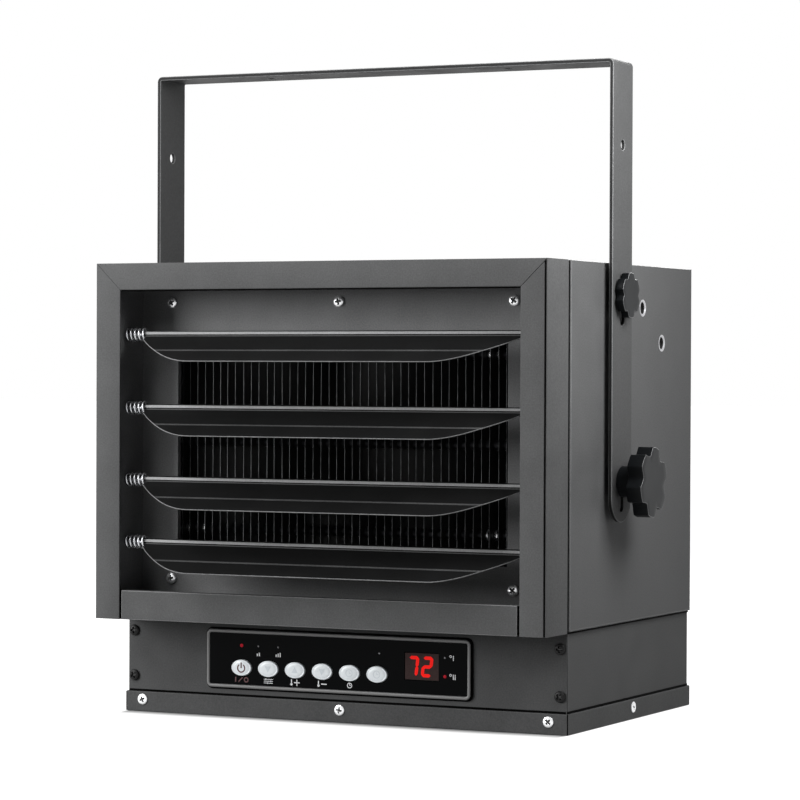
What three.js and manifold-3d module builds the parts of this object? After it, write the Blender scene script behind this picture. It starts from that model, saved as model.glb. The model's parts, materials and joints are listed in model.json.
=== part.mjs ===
// Ceiling mounted fan heater: a louvred steel cabinet on a control box, hung in a U-shaped strap bracket.
// Millimetres, +X to the heater's right, +Y to its back, +Z up. The origin is the middle of the
// bracket's ceiling face. The heater itself is modelled from the front of its louvre frame and the
// underside of its base pan, in a group that hangs in the bracket.
import * as THREE from "three";
import { mergeVertices } from "three/addons/utils/BufferGeometryUtils.js";
import Module from "manifold-3d";

const wasm = await Module();
wasm.setup();

// ---- driving dimensions -------------------------------------------------------------------------
const GAP = 0.3; // between pieces that rest on or pass through each other
const SHEET = 1.2; // steel sheet of the cabinet, frame, panel and pan

// Cabinet and the control box under it
const CABINET_HALF = 185.6; // half the width
const CABINET_DEPTH = 239.3;
const CABINET_HEIGHT = 266.5;
const BOX_HEIGHT = 74; // underside of the pan to the top of the control box
const FRAME_DEPTH = 40.8;
const FRAME_SEAM = 0.6; // between the frame and the cabinet

// Ceiling bracket, a bent strap
const STRAP_W = 38;
const STRAP_T = 3;
const SIDE_ROOM = 3.9; // cabinet to strap
const BEND_R = 4;
const PIVOT_DROP = 310; // ceiling face to the tilt pivot
const LEG_END = 30; // the leg's end below the tilt pivot
const CEILING_HOLE_R = 4;
const CEILING_HOLE_X = 100;
const SPARE_HOLE_R = 3.8;
const SPARE_HOLE_DROP = 62.5;
const STUD_R = 4;
const SLOT_PLAY = 0.5;
const SLOT_TRAVEL = 17.5; // how far the heater drops in its slots
const LOCK_RISE = 137; // lock stud above the tilt pivot
const PIVOT_DEPTH = 121; // pivot behind the front of the louvre frame
const PIVOT_HEIGHT = 180; // pivot above the underside of the pan

// Spare threaded inserts in the cabinet's sides
const INSERT_RADIUS = 141; // from the tilt pivot
const INSERT_ANGLES = [24, 43.2]; // degrees back from straight up
const INSERT_PLAY = 0.2; // round the stud
const INSERT_WALL = 1;
const INSERT_FLANGE_W = 1.5;
const INSERT_PROUD = 0.25;
const INSERT_SEAT = 0.02; // flange above the cabinet's side
const INSERT_L = 9;

// Louvre frame
const FRAME_STEP = 0.6; // inside the cabinet's sides
const FRAME_DROP = 0.8; // below the cabinet's floor
const FRAME_SIDE_W = 20.7;
const FRAME_TOP_W = 20;
const BAR_HEIGHT = 21.8;
const BAR_END_GAP = 1.7;
const BAR_TOP_LIP = 8;

// Baffle tray behind the louvres
const TRAY_SETBACK = 3.7; // its walls outside the frame's opening
const TRAY_RISE = 4.2;
const TRAY_LIP_FRONT = 3; // depth where its walls start
const OUTLET_MARGINS = { side: 30.4, bottom: 46.5, top: 39 };
const FLANGE_SETBACK = 2.4; // cabinet's opening outside the baffle's
const BAFFLE_SCREW_INSETS = { side: 26, bottom: 29.5, top: 13 };

// Louvres
const LOUVER_DROPS = [33.5, 88.5, 142.6, 189.6]; // pivots below the frame's opening
const LOUVER_DEPTH = 15.4; // pivot behind the frame's front
const SPRING_ROOM = 16.2; // left end of a blade to the tray
const PIN_ROOM = 6.2; // right end of a blade to the tray
const LOUVER_T = 1;
const CREASE_AT = 27.6; // along the blade from its pivot
const BLADE_W = 44.2;
const BLADE_SLOPE = 25.1; // degrees below level
const TIP_SLOPE = 28.4;
const END_STRAIGHT = 4.5; // square part of a blade's end
const END_CORNER = 33.8; // inside the blade's end, where its two edges would meet
const END_TAPER = 59.8; // inside the blade's end, where the free edge runs straight
const ROLL_R = 2.9; // rolled back edge
const ROD_R = 1.8;
const ROD_OVERHANG = 1.4;
const SPRING_R = 4.4; // mean radius
const SPRING_WIRE_R = 0.8;
const SPRING_TURNS = 4.5;

// Control box, panel and pan
const BOX_STEP = 3.4; // inside the cabinet's sides
const BOX_FRONT_STEP = 2.9; // behind the cabinet's front
const BOX_BACK_STEP = 3.7; // behind the cabinet's back
const BOX_FLANGE_W = 18;
const PAN_RIM = 15.4;
const PANEL_SCREW_SIDE = 5.2;
const PANEL_SCREW_MARGIN = 12.2;
const BEZEL_X = -2.5;
const BEZEL_Z = 43.75;
const BEZEL_H = 43.9;
const BEZEL_R = 4;
const BEZEL_PROUD = 3;
const BEZEL_RIM = 3;
const BEZEL_RECESS = 0.8;
const WINDOW_INSET = 6; // panel's window inside the bezel's outline
const POST_INSET = 5;
const POST_R = 2.5;
const BUTTON_COUNT = 6;
const BUTTON_MARGIN = 30; // bezel's left edge to the first button
const BUTTON_PITCH = 22.75;
const BUTTON_DROP = 6.45; // below the bezel's middle
const BUTTON_HALF_W = 8.5;
const BUTTON_HALF_H = 6;
const BUTTON_PROUD = 1.1;
const BUTTON_STEM_R = 2;
const BUTTON_TRAVEL = 0.5;
const DISPLAY_STEP = 36.3; // last button to the display
const DISPLAY_MARGIN = 39.5; // display to the bezel's right edge
const DISPLAY_RISE = 0.85; // above the bezel's middle
const DISPLAY_W = 27.4;
const DISPLAY_H = 19.6;
const BOARD_SETBACK = 5.7; // board behind the panel's face
const BOARD_T = 1.6;

// Screws
const SCREW_HEAD_R = 3.8;
const SCREW_HEAD_H = 2.4;
const SCREW_SHANK_R = 1.9;
const SCREW_L = 7;

// Fan, motor, shroud and guard, from the back of the cabinet forwards
const INLET_R = 104;
const GUARD_T = 2.4;
const GUARD_OVERLAP = 9;
const GUARD_RINGS = 3;
const GUARD_RING_W = 3;
const GUARD_BAR_W = 6;
const MOTOR_STAND_OFF = 8; // strap in front of the back panel
const MOTOR_STRAP_W = 30;
const MOTOR_STRAP_REACH = 12; // beyond the inlet
const MOTOR_STRAP_T = 2.5;
const MOTOR_R = 42;
const MOTOR_L = 52;
const MOTOR_BOSS_R = 14;
const MOTOR_BOSS_L = 5;
const SHAFT_R = 4;
const HUB_TO_MOTOR = 12.4;
const FAN_R = 102;
const FAN_HUB_R = 20;
const FAN_HUB_L = 26;
const BLADE_COUNT = 5;
const BLADE_CHORD = 62;
const BLADE_T = 1.6;
const BLADE_PITCH = 28;
const SHROUD_OVERLAP = 20; // fan in front of the shroud's plate
const SHROUD_RING_L = 26;
const TIP_CLEARANCE = 6;

// Heating element behind the outlet
const ELEMENT_SETBACK = 10.6; // behind the cabinet's front
const ELEMENT_DEPTH = 32;
const FIN_OVERLAP = 9; // fins above and below the outlet
const FIN_PITCH = 15.6;
const FIN_T = 0.8;
const FIN_END_ROOM = 13.4; // last fin to the end plate
const TUBE_R = 4;
const TUBE_ROWS = 3;
const TUBE_OVERHANG = 12;
const PLATE_SETBACK = 8.4; // end plates outside the outlet
const PLATE_OVERLAP = 6; // end plates behind the fins

// Knobs
const TILT_KNOB = { lobeR: 25.8, valleyR: 20.3, lobes: 6, hubR: 11.5, hubL: 13.2, headL: 12, turn: 20 };
const LOCK_KNOB = { lobeR: 16.6, valleyR: 13.8, lobes: 6, hubR: 10, hubL: 1, headL: 6, turn: 30 };
const WASHER_R = 12;
const STUD_INTO_CABINET = 6;

// Electrical pieces
const CONTACTOR = { x: -90, setback: 126, w: 46, d: 58, h: 44 };
const TERMINALS = { x: 92, fromBack: 48, w: 78, d: 26, h: 20, ways: 3, wall: 3 };
const GLAND_SIDE = 62; // from the control box's right side
const GLAND_Z = 44;
const GLAND_R = 10.5;
const GLAND_BORE_R = 6;
const GLAND_NUT_R = 15;
const GLAND_NUT_L = 10;
const GLAND_TAIL = 14; // inside the box
const CUTOUT_R = 9;
const CUTOUT_L = 9;
const TAB_T = 0.8;
const CUTOUT_SIDE = 34; // from the cabinet's right side
const CUTOUT_DROP = 40; // from its top

// ---- places that follow -------------------------------------------------------------------------
const CABINET_FRONT = FRAME_DEPTH + FRAME_SEAM;
const CABINET_BACK = CABINET_FRONT + CABINET_DEPTH;
const CABINET_BOTTOM = BOX_HEIGHT + GAP;
const CABINET_TOP = CABINET_BOTTOM + CABINET_HEIGHT;
const INNER_HALF = CABINET_HALF - SHEET;
const INNER_BOTTOM = CABINET_BOTTOM + SHEET;
const INNER_TOP = CABINET_TOP - SHEET;
const BRACKET_HALF = CABINET_HALF + SIDE_ROOM + STRAP_T;
const LEG_LENGTH = PIVOT_DROP + LEG_END;
const LOCK_HEIGHT = PIVOT_HEIGHT + LOCK_RISE;
const SEAT = BRACKET_HALF + GAP; // of the knobs on the strap
const FRAME_HALF = CABINET_HALF - FRAME_STEP;
const FRAME_BOTTOM = CABINET_BOTTOM - FRAME_DROP;
const FRAME_INNER = FRAME_HALF - FRAME_SIDE_W;
const OPENING_TOP = CABINET_TOP - FRAME_TOP_W;
const TRAY_HALF = FRAME_INNER + TRAY_SETBACK; // inside
const TRAY_TOP = OPENING_TOP + TRAY_RISE; // inside
const TRAY_BOTTOM = FRAME_BOTTOM + SHEET + GAP; // underside, on the bottom bar's lip
const BAFFLE_FACE = CABINET_FRONT - GAP - SHEET;
const OUTLET_HALF = TRAY_HALF - OUTLET_MARGINS.side;
const OUTLET_BOTTOM = FRAME_BOTTOM + OUTLET_MARGINS.bottom;
const OUTLET_TOP = TRAY_TOP - OUTLET_MARGINS.top;
const LOUVER_LEFT = SPRING_ROOM - TRAY_HALF;
const LOUVER_RIGHT = TRAY_HALF - PIN_ROOM;
const BOX_HALF = CABINET_HALF - BOX_STEP;
const BOX_FRONT = CABINET_FRONT + BOX_FRONT_STEP;
const BOX_BACK = CABINET_BACK + BOX_BACK_STEP;
const FLOOR = SHEET + GAP; // of what stands in the pan
const FAN_AXIS = [0, (CABINET_BOTTOM + CABINET_TOP) / 2];
const PANEL_FRONT = CABINET_BACK - GAP - SHEET; // back panel
const STRAP_FRONT = PANEL_FRONT - MOTOR_STAND_OFF - MOTOR_STRAP_T;
const MOTOR_BACK = STRAP_FRONT - GAP;
const MOTOR_FRONT = MOTOR_BACK - MOTOR_L;
const FAN_FRONT = MOTOR_FRONT - HUB_TO_MOTOR - FAN_HUB_L;
const SHROUD_PLATE = FAN_FRONT + SHROUD_OVERLAP; // depth of its front face
const ELEMENT_FRONT = CABINET_FRONT + ELEMENT_SETBACK;
const END_PLATE_X = OUTLET_HALF + PLATE_SETBACK;

// ---- materials ----------------------------------------------------------------------------------
const paint = (color, roughness, metalness) => ({ color, roughness, metalness });
const POWDER_COAT = paint(0x46474a, 0.55, 0.2);
const BLACK_COAT = paint(0x26272a, 0.5, 0.2);
const ZINC = paint(0xc9ccd0, 0.3, 1);
const BLACK_PLASTIC = paint(0x16171a, 0.5, 0);
const GLOSS_BLACK = paint(0x07080b, 0.12, 0);
const WHITE_PLASTIC = paint(0xe8e8e6, 0.4, 0);
const DARK_STEEL = paint(0x2e2e31, 0.6, 0.6);
const BARE_STEEL = paint(0x9a9da2, 0.4, 0.9);
const CIRCUIT_GREEN = paint(0x1e5a3a, 0.5, 0);
const CREAM_PLASTIC = paint(0xcfc9b8, 0.5, 0);
const RED_DISPLAY = paint(0x3a0a0a, 0.2, 0);

// ---- solids -------------------------------------------------------------------------------------
const turn = (degrees) => THREE.MathUtils.degToRad(degrees);

function solid(geometry) {
  const bare = geometry.clone();
  bare.deleteAttribute("normal");
  bare.deleteAttribute("uv");
  const merged = mergeVertices(bare, 1e-4);
  return new wasm.Manifold(
    new wasm.Mesh({
      numProp: 3,
      vertProperties: new Float32Array(merged.attributes.position.array),
      triVerts: new Uint32Array(merged.index.array),
    }),
  );
}

function geometryOf(made) {
  const mesh = made.getMesh();
  const geometry = new THREE.BufferGeometry();
  geometry.setAttribute("position", new THREE.BufferAttribute(mesh.vertProperties, 3));
  geometry.setIndex(new THREE.BufferAttribute(mesh.triVerts, 1));
  geometry.computeVertexNormals();
  return geometry;
}

const join = (...parts) => parts.reduce((whole, part) => whole.add(part));
const cut = (whole, ...tools) => tools.reduce((left, tool) => left.subtract(tool), whole);

function box([x0, x1], [y0, y1], [z0, z1]) {
  const geometry = new THREE.BoxGeometry(x1 - x0, y1 - y0, z1 - z0);
  return solid(geometry.translate((x0 + x1) / 2, (y0 + y1) / 2, (z0 + z1) / 2));
}

// A cylinder along "x", "y" or "z" from one place to another, centred on the other two coordinates.
function rod(axis, [from, to], [a, b], radius, sides = 20) {
  const geometry = new THREE.CylinderGeometry(radius, radius, to - from, sides);
  const middle = (from + to) / 2;
  if (axis === "x") return solid(geometry.rotateZ(-Math.PI / 2).translate(middle, a, b));
  if (axis === "y") return solid(geometry.translate(a, middle, b));
  return solid(geometry.rotateX(Math.PI / 2).translate(a, b, middle));
}

// A profile of [radius, place] points turned about an axis through (a, b).
function turned(axis, profile, [a, b], sides = 20) {
  const points = profile.map(([radius, place]) => new THREE.Vector2(radius, place));
  const geometry = new THREE.LatheGeometry(points, sides);
  if (axis === "x") geometry.rotateZ(-Math.PI / 2).translate(0, a, b);
  else geometry.translate(a, 0, b);
  const made = solid(geometry);
  return made.volume() < 0 ? solid(flipped(geometry)) : made;
}

function flipped(geometry) {
  const index = geometry.index.array;
  for (let i = 0; i < index.length; i += 3) [index[i], index[i + 1]] = [index[i + 1], index[i]];
  return geometry;
}

// An outline drawn in x and z, pushed along y.
function alongY(shape, [from, to], curveSegments = 8) {
  const geometry = new THREE.ExtrudeGeometry(shape, {
    depth: to - from,
    bevelEnabled: false,
    curveSegments,
  });
  return solid(geometry.rotateX(Math.PI / 2).translate(0, to, 0));
}

// An outline drawn in y and z, pushed along x.
const Y_Z_TO_WORLD = new THREE.Matrix4().makeBasis(
  new THREE.Vector3(0, 1, 0),
  new THREE.Vector3(0, 0, 1),
  new THREE.Vector3(1, 0, 0),
);
function alongX(shape, [from, to], curveSegments = 8) {
  const geometry = new THREE.ExtrudeGeometry(shape, {
    depth: to - from,
    bevelEnabled: false,
    curveSegments,
  });
  return solid(geometry.applyMatrix4(Y_Z_TO_WORLD).translate(from, 0, 0));
}

function outline(points) {
  return new THREE.Shape(points.map(([a, b]) => new THREE.Vector2(a, b)));
}

function roundedRect([a0, a1], [b0, b1], r) {
  const shape = new THREE.Shape();
  shape.moveTo(a0 + r, b0);
  shape.lineTo(a1 - r, b0);
  shape.absarc(a1 - r, b0 + r, r, -Math.PI / 2, 0, false);
  shape.lineTo(a1, b1 - r);
  shape.absarc(a1 - r, b1 - r, r, 0, Math.PI / 2, false);
  shape.lineTo(a0 + r, b1);
  shape.absarc(a0 + r, b1 - r, r, Math.PI / 2, Math.PI, false);
  shape.lineTo(a0, b0 + r);
  shape.absarc(a0 + r, b0 + r, r, Math.PI, 1.5 * Math.PI, false);
  return shape;
}

// ---- assembly -----------------------------------------------------------------------------------
const group = new THREE.Group();
const heater = new THREE.Group();
heater.position.set(0, -PIVOT_DEPTH, -PIVOT_DROP - PIVOT_HEIGHT);
group.add(heater);

function piece(parent, name, made, finish) {
  const mesh = new THREE.Mesh(geometryOf(made), new THREE.MeshStandardMaterial(finish));
  mesh.name = name;
  parent.add(mesh);
}

const SIDES = { left: -1, right: 1 };
const span = (side, near, far) => (side > 0 ? [near, far] : [-far, -near]);

// ---- ceiling bracket ----------------------------------------------------------------------------
function bracket() {
  const half = BRACKET_HALF;
  const r = BEND_R;
  const inner = r - STRAP_T;
  const inside = half - STRAP_T;
  const strap = new THREE.Shape();
  strap.moveTo(half, -LEG_LENGTH);
  strap.lineTo(half, -r);
  strap.absarc(half - r, -r, r, 0, Math.PI / 2, false);
  strap.lineTo(r - half, 0);
  strap.absarc(r - half, -r, r, Math.PI / 2, Math.PI, false);
  strap.lineTo(-half, -LEG_LENGTH);
  strap.lineTo(-inside, -LEG_LENGTH);
  strap.lineTo(-inside, -STRAP_T - inner);
  strap.absarc(inner - inside, -STRAP_T - inner, inner, Math.PI, Math.PI / 2, true);
  strap.lineTo(inside - inner, -STRAP_T);
  strap.absarc(inside - inner, -STRAP_T - inner, inner, Math.PI / 2, 0, true);
  strap.lineTo(inside, -LEG_LENGTH);
  const whole = alongY(strap, [-STRAP_W / 2, STRAP_W / 2], 4);

  const endR = STRAP_W / 2;
  const leg = new THREE.Shape();
  leg.moveTo(endR, 1);
  leg.lineTo(-endR, 1);
  leg.lineTo(-endR, endR - LEG_LENGTH);
  leg.absarc(0, endR - LEG_LENGTH, endR, Math.PI, 2 * Math.PI, false);
  const across = [-half - 1, half + 1];
  const slot = (top) => {
    const shape = new THREE.Shape();
    const slotR = STUD_R + SLOT_PLAY;
    shape.absarc(0, top + GAP, slotR, 0, Math.PI, false);
    shape.absarc(0, top - SLOT_TRAVEL - GAP, slotR, Math.PI, 2 * Math.PI, false);
    return alongX(shape, across, 6);
  };
  const ceilingHole = (x) => rod("z", [-STRAP_T - 1, 1], [x, 0], CEILING_HOLE_R, 16);
  return cut(
    whole.intersect(alongX(leg, across, 10)),
    slot(-PIVOT_DROP),
    slot(LOCK_RISE - PIVOT_DROP),
    rod("x", across, [0, -SPARE_HOLE_DROP], SPARE_HOLE_R, 12),
    ceilingHole(-CEILING_HOLE_X),
    ceilingHole(CEILING_HOLE_X),
  );
}
piece(group, "mounting_bracket", bracket(), POWDER_COAT);

// ---- knobs and washers --------------------------------------------------------------------------
// A lobed head on a round hub, with its stud towards the heater. Modelled on +X from the hub's seat.
function knob(style, studLength) {
  const outer = [];
  const steps = style.lobes * 6;
  for (let i = 0; i < steps; i++) {
    const a = (i / steps) * 2 * Math.PI;
    const swell = (1 + Math.cos(style.lobes * (a - turn(style.turn)))) / 2;
    const r = style.valleyR + (style.lobeR - style.valleyR) * Math.pow(swell, 0.8);
    outer.push([r * Math.cos(a), r * Math.sin(a)]);
  }
  const head = alongX(outline(outer), [style.hubL, style.hubL + style.headL]);
  const hub = rod("x", [0, style.hubL + 1], [0, 0], style.hubR, 20);
  const stud = rod("x", [-studLength, 1], [0, 0], STUD_R, 12);
  return join(head, hub, stud);
}

function mountOnSide(made, side, height) {
  const placed = geometryOf(made);
  if (side < 0) placed.rotateZ(Math.PI);
  return solid(placed.translate(side * SEAT, PIVOT_DEPTH, height));
}

function washer(side, height) {
  const near = CABINET_HALF + INSERT_PROUD + GAP;
  const far = BRACKET_HALF - STRAP_T - GAP;
  const at = [PIVOT_DEPTH, height];
  const ring = rod("x", span(side, near, far), at, WASHER_R, 20);
  return cut(ring, rod("x", span(side, near - 1, far + 1), at, STUD_R + GAP, 12));
}

for (const [name, side] of Object.entries(SIDES)) {
  const tiltKnob = knob(TILT_KNOB, SEAT - CABINET_HALF + SHEET + STUD_INTO_CABINET);
  const lockKnob = knob(LOCK_KNOB, SEAT - CABINET_HALF - INSERT_PROUD - GAP);
  piece(heater, `tilt_knob_${name}`, mountOnSide(tiltKnob, side, PIVOT_HEIGHT), BLACK_PLASTIC);
  piece(heater, `lock_knob_${name}`, mountOnSide(lockKnob, side, LOCK_HEIGHT), BLACK_PLASTIC);
  piece(heater, `pivot_washer_${name}`, washer(side, PIVOT_HEIGHT), BLACK_PLASTIC);
  piece(heater, `lock_washer_${name}`, washer(side, LOCK_HEIGHT), BLACK_PLASTIC);
}

// ---- cabinet ------------------------------------------------------------------------------------
const insertPlaces = INSERT_ANGLES.map((angle) => [
  PIVOT_DEPTH + INSERT_RADIUS * Math.sin(turn(angle)),
  PIVOT_HEIGHT + INSERT_RADIUS * Math.cos(turn(angle)),
]);
const INSERT_BORE_R = STUD_R + INSERT_PLAY;
const BARREL_R = INSERT_BORE_R + INSERT_WALL;
const screwX = TRAY_HALF - BAFFLE_SCREW_INSETS.side;
const screwTop = TRAY_TOP - BAFFLE_SCREW_INSETS.top;
const screwBottom = FRAME_BOTTOM + BAFFLE_SCREW_INSETS.bottom;
const baffleScrews = [
  [-screwX, screwTop],
  [0, screwTop],
  [screwX, screwTop],
  [-screwX, screwBottom],
  [screwX, screwBottom],
];
const screwHoles = (places, [from, to]) =>
  places.map((at) => rod("y", [from - 1, to + 1], at, SCREW_SHANK_R + GAP, 10));

function cabinetShell() {
  const depth = [CABINET_FRONT, CABINET_BACK];
  const outside = box([-CABINET_HALF, CABINET_HALF], depth, [CABINET_BOTTOM, CABINET_TOP]);
  const behindFlange = [CABINET_FRONT + SHEET, CABINET_BACK + 1];
  const inside = box([-INNER_HALF, INNER_HALF], behindFlange, [INNER_BOTTOM, INNER_TOP]);
  const openX = OUTLET_HALF + FLANGE_SETBACK;
  const open = box(
    [-openX, openX],
    [CABINET_FRONT - 1, CABINET_FRONT + SHEET + 1],
    [OUTLET_BOTTOM - FLANGE_SETBACK, OUTLET_TOP + FLANGE_SETBACK],
  );
  const across = [-CABINET_HALF - 1, CABINET_HALF + 1];
  const insertHoles = insertPlaces.map((at) => rod("x", across, at, BARREL_R + GAP, 16));
  const pivotHole = rod("x", across, [PIVOT_DEPTH, PIVOT_HEIGHT], STUD_R + GAP, 16);
  const holes = screwHoles(baffleScrews, [CABINET_FRONT, CABINET_FRONT + SHEET]);
  return cut(outside, inside, open, pivotHole, ...insertHoles, ...holes);
}
piece(heater, "cabinet_shell", cabinetShell(), POWDER_COAT);

// A threaded insert: a thin flange on the cabinet's side and a barrel through it.
function insert(side, [y, z]) {
  const face = CABINET_HALF + INSERT_SEAT;
  const flangeR = BARREL_R + INSERT_FLANGE_W;
  const profile = [
    [INSERT_BORE_R, CABINET_HALF - INSERT_L],
    [BARREL_R, CABINET_HALF - INSERT_L],
    [BARREL_R, face],
    [flangeR, face],
    [flangeR, CABINET_HALF + INSERT_PROUD],
    [INSERT_BORE_R, CABINET_HALF + INSERT_PROUD],
    [INSERT_BORE_R, CABINET_HALF - INSERT_L],
  ];
  return turned("x", profile.map(([r, x]) => [r, side * x]), [y, z], 14);
}
for (const [name, side] of Object.entries(SIDES)) {
  insertPlaces.forEach((at, i) => piece(heater, `tilt_insert_${name}_${i + 1}`, insert(side, at), ZINC));
}

// ---- louvre frame -------------------------------------------------------------------------------
// An arch of sheet: a band between an outer and an inner arch, both open at the bottom.
function arch(outerHalf, outerTop, innerHalf, innerTop, depth) {
  return cut(
    box([-outerHalf, outerHalf], depth, [FRAME_BOTTOM, outerTop]),
    box([-innerHalf, innerHalf], [depth[0] - 1, depth[1] + 1], [FRAME_BOTTOM - 1, innerTop]),
  );
}

function louverFrame() {
  const wall = arch(FRAME_HALF, CABINET_TOP, FRAME_HALF - SHEET, INNER_TOP, [0, FRAME_DEPTH]);
  const face = arch(FRAME_HALF, CABINET_TOP, FRAME_INNER, OPENING_TOP, [0, SHEET]);
  return join(wall, face);
}
piece(heater, "louver_frame", louverFrame(), POWDER_COAT);

function bottomBar() {
  const width = [BAR_END_GAP - FRAME_INNER, FRAME_INNER - BAR_END_GAP];
  const top = FRAME_BOTTOM + BAR_HEIGHT;
  return join(
    box(width, [0, SHEET], [FRAME_BOTTOM, top]),
    box(width, [0, BAFFLE_FACE - GAP], [FRAME_BOTTOM, FRAME_BOTTOM + SHEET]),
    box(width, [0, BAR_TOP_LIP], [top - SHEET, top]),
  );
}
piece(heater, "frame_bottom_bar", bottomBar(), POWDER_COAT);

// ---- baffle tray and its screws -----------------------------------------------------------------
const louverHeights = LOUVER_DROPS.map((drop) => OPENING_TOP - drop);

function bafflePlate() {
  const outerHalf = TRAY_HALF + SHEET;
  const back = BAFFLE_FACE + SHEET;
  const whole = box([-outerHalf, outerHalf], [TRAY_LIP_FRONT, back], [TRAY_BOTTOM, TRAY_TOP + SHEET]);
  const hollow = box(
    [-TRAY_HALF, TRAY_HALF],
    [TRAY_LIP_FRONT - 1, BAFFLE_FACE],
    [TRAY_BOTTOM + SHEET, TRAY_TOP],
  );
  const outlet = box([-OUTLET_HALF, OUTLET_HALF], [0, back + 1], [OUTLET_BOTTOM, OUTLET_TOP]);
  const across = [-outerHalf - 1, outerHalf + 1];
  const lipRoom = box(across, [0, BAR_TOP_LIP + GAP], [0, FRAME_BOTTOM + BAR_HEIGHT + GAP]);
  const pivots = louverHeights.map((z) => rod("x", across, [LOUVER_DEPTH, z], ROD_R + GAP, 12));
  return cut(whole, hollow, outlet, lipRoom, ...pivots, ...screwHoles(baffleScrews, [BAFFLE_FACE, back]));
}
piece(heater, "baffle_plate", bafflePlate(), BLACK_COAT);

// A domed screw whose head rests on a face at the given depth.
function screw(at, face) {
  const seat = face - GAP;
  const profile = [
    [0, seat - SCREW_HEAD_H],
    [SCREW_HEAD_R * 0.6, seat - SCREW_HEAD_H * 0.84],
    [SCREW_HEAD_R, seat - SCREW_HEAD_H * 0.25],
    [SCREW_HEAD_R, seat],
    [SCREW_SHANK_R, seat],
    [SCREW_SHANK_R, seat + SCREW_L],
    [0, seat + SCREW_L],
  ];
  return turned("y", profile, at, 12);
}
baffleScrews.forEach((at, i) => piece(heater, `baffle_screw_${i + 1}`, screw(at, BAFFLE_FACE), ZINC));

// ---- louvres ------------------------------------------------------------------------------------
// The blade's section: a rolled edge round the pivot rod, then two flats that meet at the crease.
function louver(height) {
  const along = (slope, length) => [-length * Math.cos(turn(slope)), -length * Math.sin(turn(slope))];
  const [creaseY, creaseZ] = along(BLADE_SLOPE, CREASE_AT);
  const [tipY, tipZ] = along(TIP_SLOPE, BLADE_W - CREASE_AT);
  const t = LOUVER_T;
  const section = outline([
    [LOUVER_DEPTH, height - t],
    [LOUVER_DEPTH, height],
    [LOUVER_DEPTH + creaseY, height + creaseZ],
    [LOUVER_DEPTH + creaseY + tipY, height + creaseZ + tipZ],
    [LOUVER_DEPTH + creaseY + tipY, height + creaseZ + tipZ - t],
    [LOUVER_DEPTH + creaseY, height + creaseZ - t],
  ].reverse());
  const ends = [LOUVER_LEFT, LOUVER_RIGHT];
  const sheet = alongX(section, ends);

  // Seen from above, the blade's ends curve round into the straight free edge.
  const reach = LOUVER_DEPTH + creaseY + tipY;
  const plan = new THREE.Shape();
  plan.moveTo(LOUVER_RIGHT, LOUVER_DEPTH + 2 * ROLL_R);
  plan.lineTo(LOUVER_LEFT, LOUVER_DEPTH + 2 * ROLL_R);
  plan.lineTo(LOUVER_LEFT, LOUVER_DEPTH - END_STRAIGHT);
  plan.quadraticCurveTo(LOUVER_LEFT + END_CORNER, reach, LOUVER_LEFT + END_TAPER, reach);
  plan.lineTo(LOUVER_RIGHT - END_TAPER, reach);
  plan.quadraticCurveTo(LOUVER_RIGHT - END_CORNER, reach, LOUVER_RIGHT, LOUVER_DEPTH - END_STRAIGHT);
  const depth = 2 * BLADE_W;
  const prism = new THREE.ExtrudeGeometry(plan, { depth, bevelEnabled: false, curveSegments: 8 });
  const planform = solid(prism.translate(0, 0, height - depth / 2));
  const at = [LOUVER_DEPTH, height];
  const rodEnd = TRAY_HALF + SHEET + ROD_OVERHANG;
  return join(
    sheet.intersect(planform),
    rod("x", ends, at, ROLL_R, 10),
    rod("x", [-rodEnd, rodEnd], at, ROD_R, 8),
  );
}

// The spring on a pivot rod, one unbroken wire: a straight end, the helix, a straight end.
const SPRING_STEPS = 8; // a turn
const SPRING_RING = 5; // sides of the wire
function springPath(height) {
  const wire = 2 * SPRING_WIRE_R;
  const start = GAP - TRAY_HALF;
  const end = LOUVER_LEFT - GAP;
  const steps = SPRING_STEPS * SPRING_TURNS;
  const helix = end - start - 2 * wire;
  const at = (x, step) => {
    const a = (2 * Math.PI * step) / SPRING_STEPS;
    return new THREE.Vector3(x, LOUVER_DEPTH + SPRING_R * Math.cos(a), height + SPRING_R * Math.sin(a));
  };
  const path = [at(start, 0)];
  for (let i = 0; i <= steps; i++) path.push(at(start + wire + (helix * i) / steps, i));
  path.push(at(end, steps));
  return path;
}

function wireAlong(path, height) {
  const last = path.length - 1;
  const positions = [];
  path.forEach((p, i) => {
    const atEnd = i === 0 || i === last;
    const tangent = atEnd ? new THREE.Vector3(1, 0, 0) : path[i + 1].clone().sub(path[i - 1]).normalize();
    const outward = p.clone().sub(new THREE.Vector3(p.x, LOUVER_DEPTH, height)).normalize();
    const side = new THREE.Vector3().crossVectors(tangent, outward).normalize();
    const up = new THREE.Vector3().crossVectors(side, tangent);
    for (let k = 0; k < SPRING_RING; k++) {
      const a = (2 * Math.PI * k) / SPRING_RING;
      const offset = up.clone().multiplyScalar(SPRING_WIRE_R * Math.cos(a));
      offset.addScaledVector(side, SPRING_WIRE_R * Math.sin(a));
      positions.push(...p.clone().add(offset).toArray());
    }
  });
  const index = [];
  for (let i = 0; i < last; i++) {
    for (let k = 0; k < SPRING_RING; k++) {
      const a = i * SPRING_RING + k;
      const b = i * SPRING_RING + ((k + 1) % SPRING_RING);
      index.push(a, b, a + SPRING_RING, b, b + SPRING_RING, a + SPRING_RING);
    }
  }
  for (let k = 1; k < SPRING_RING - 1; k++) {
    index.push(0, k + 1, k);
    const base = last * SPRING_RING;
    index.push(base, base + k, base + k + 1);
  }
  const geometry = new THREE.BufferGeometry();
  geometry.setAttribute("position", new THREE.Float32BufferAttribute(positions, 3));
  geometry.setIndex(index);
  const made = solid(geometry);
  return made.volume() < 0 ? solid(flipped(geometry)) : made;
}

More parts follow.
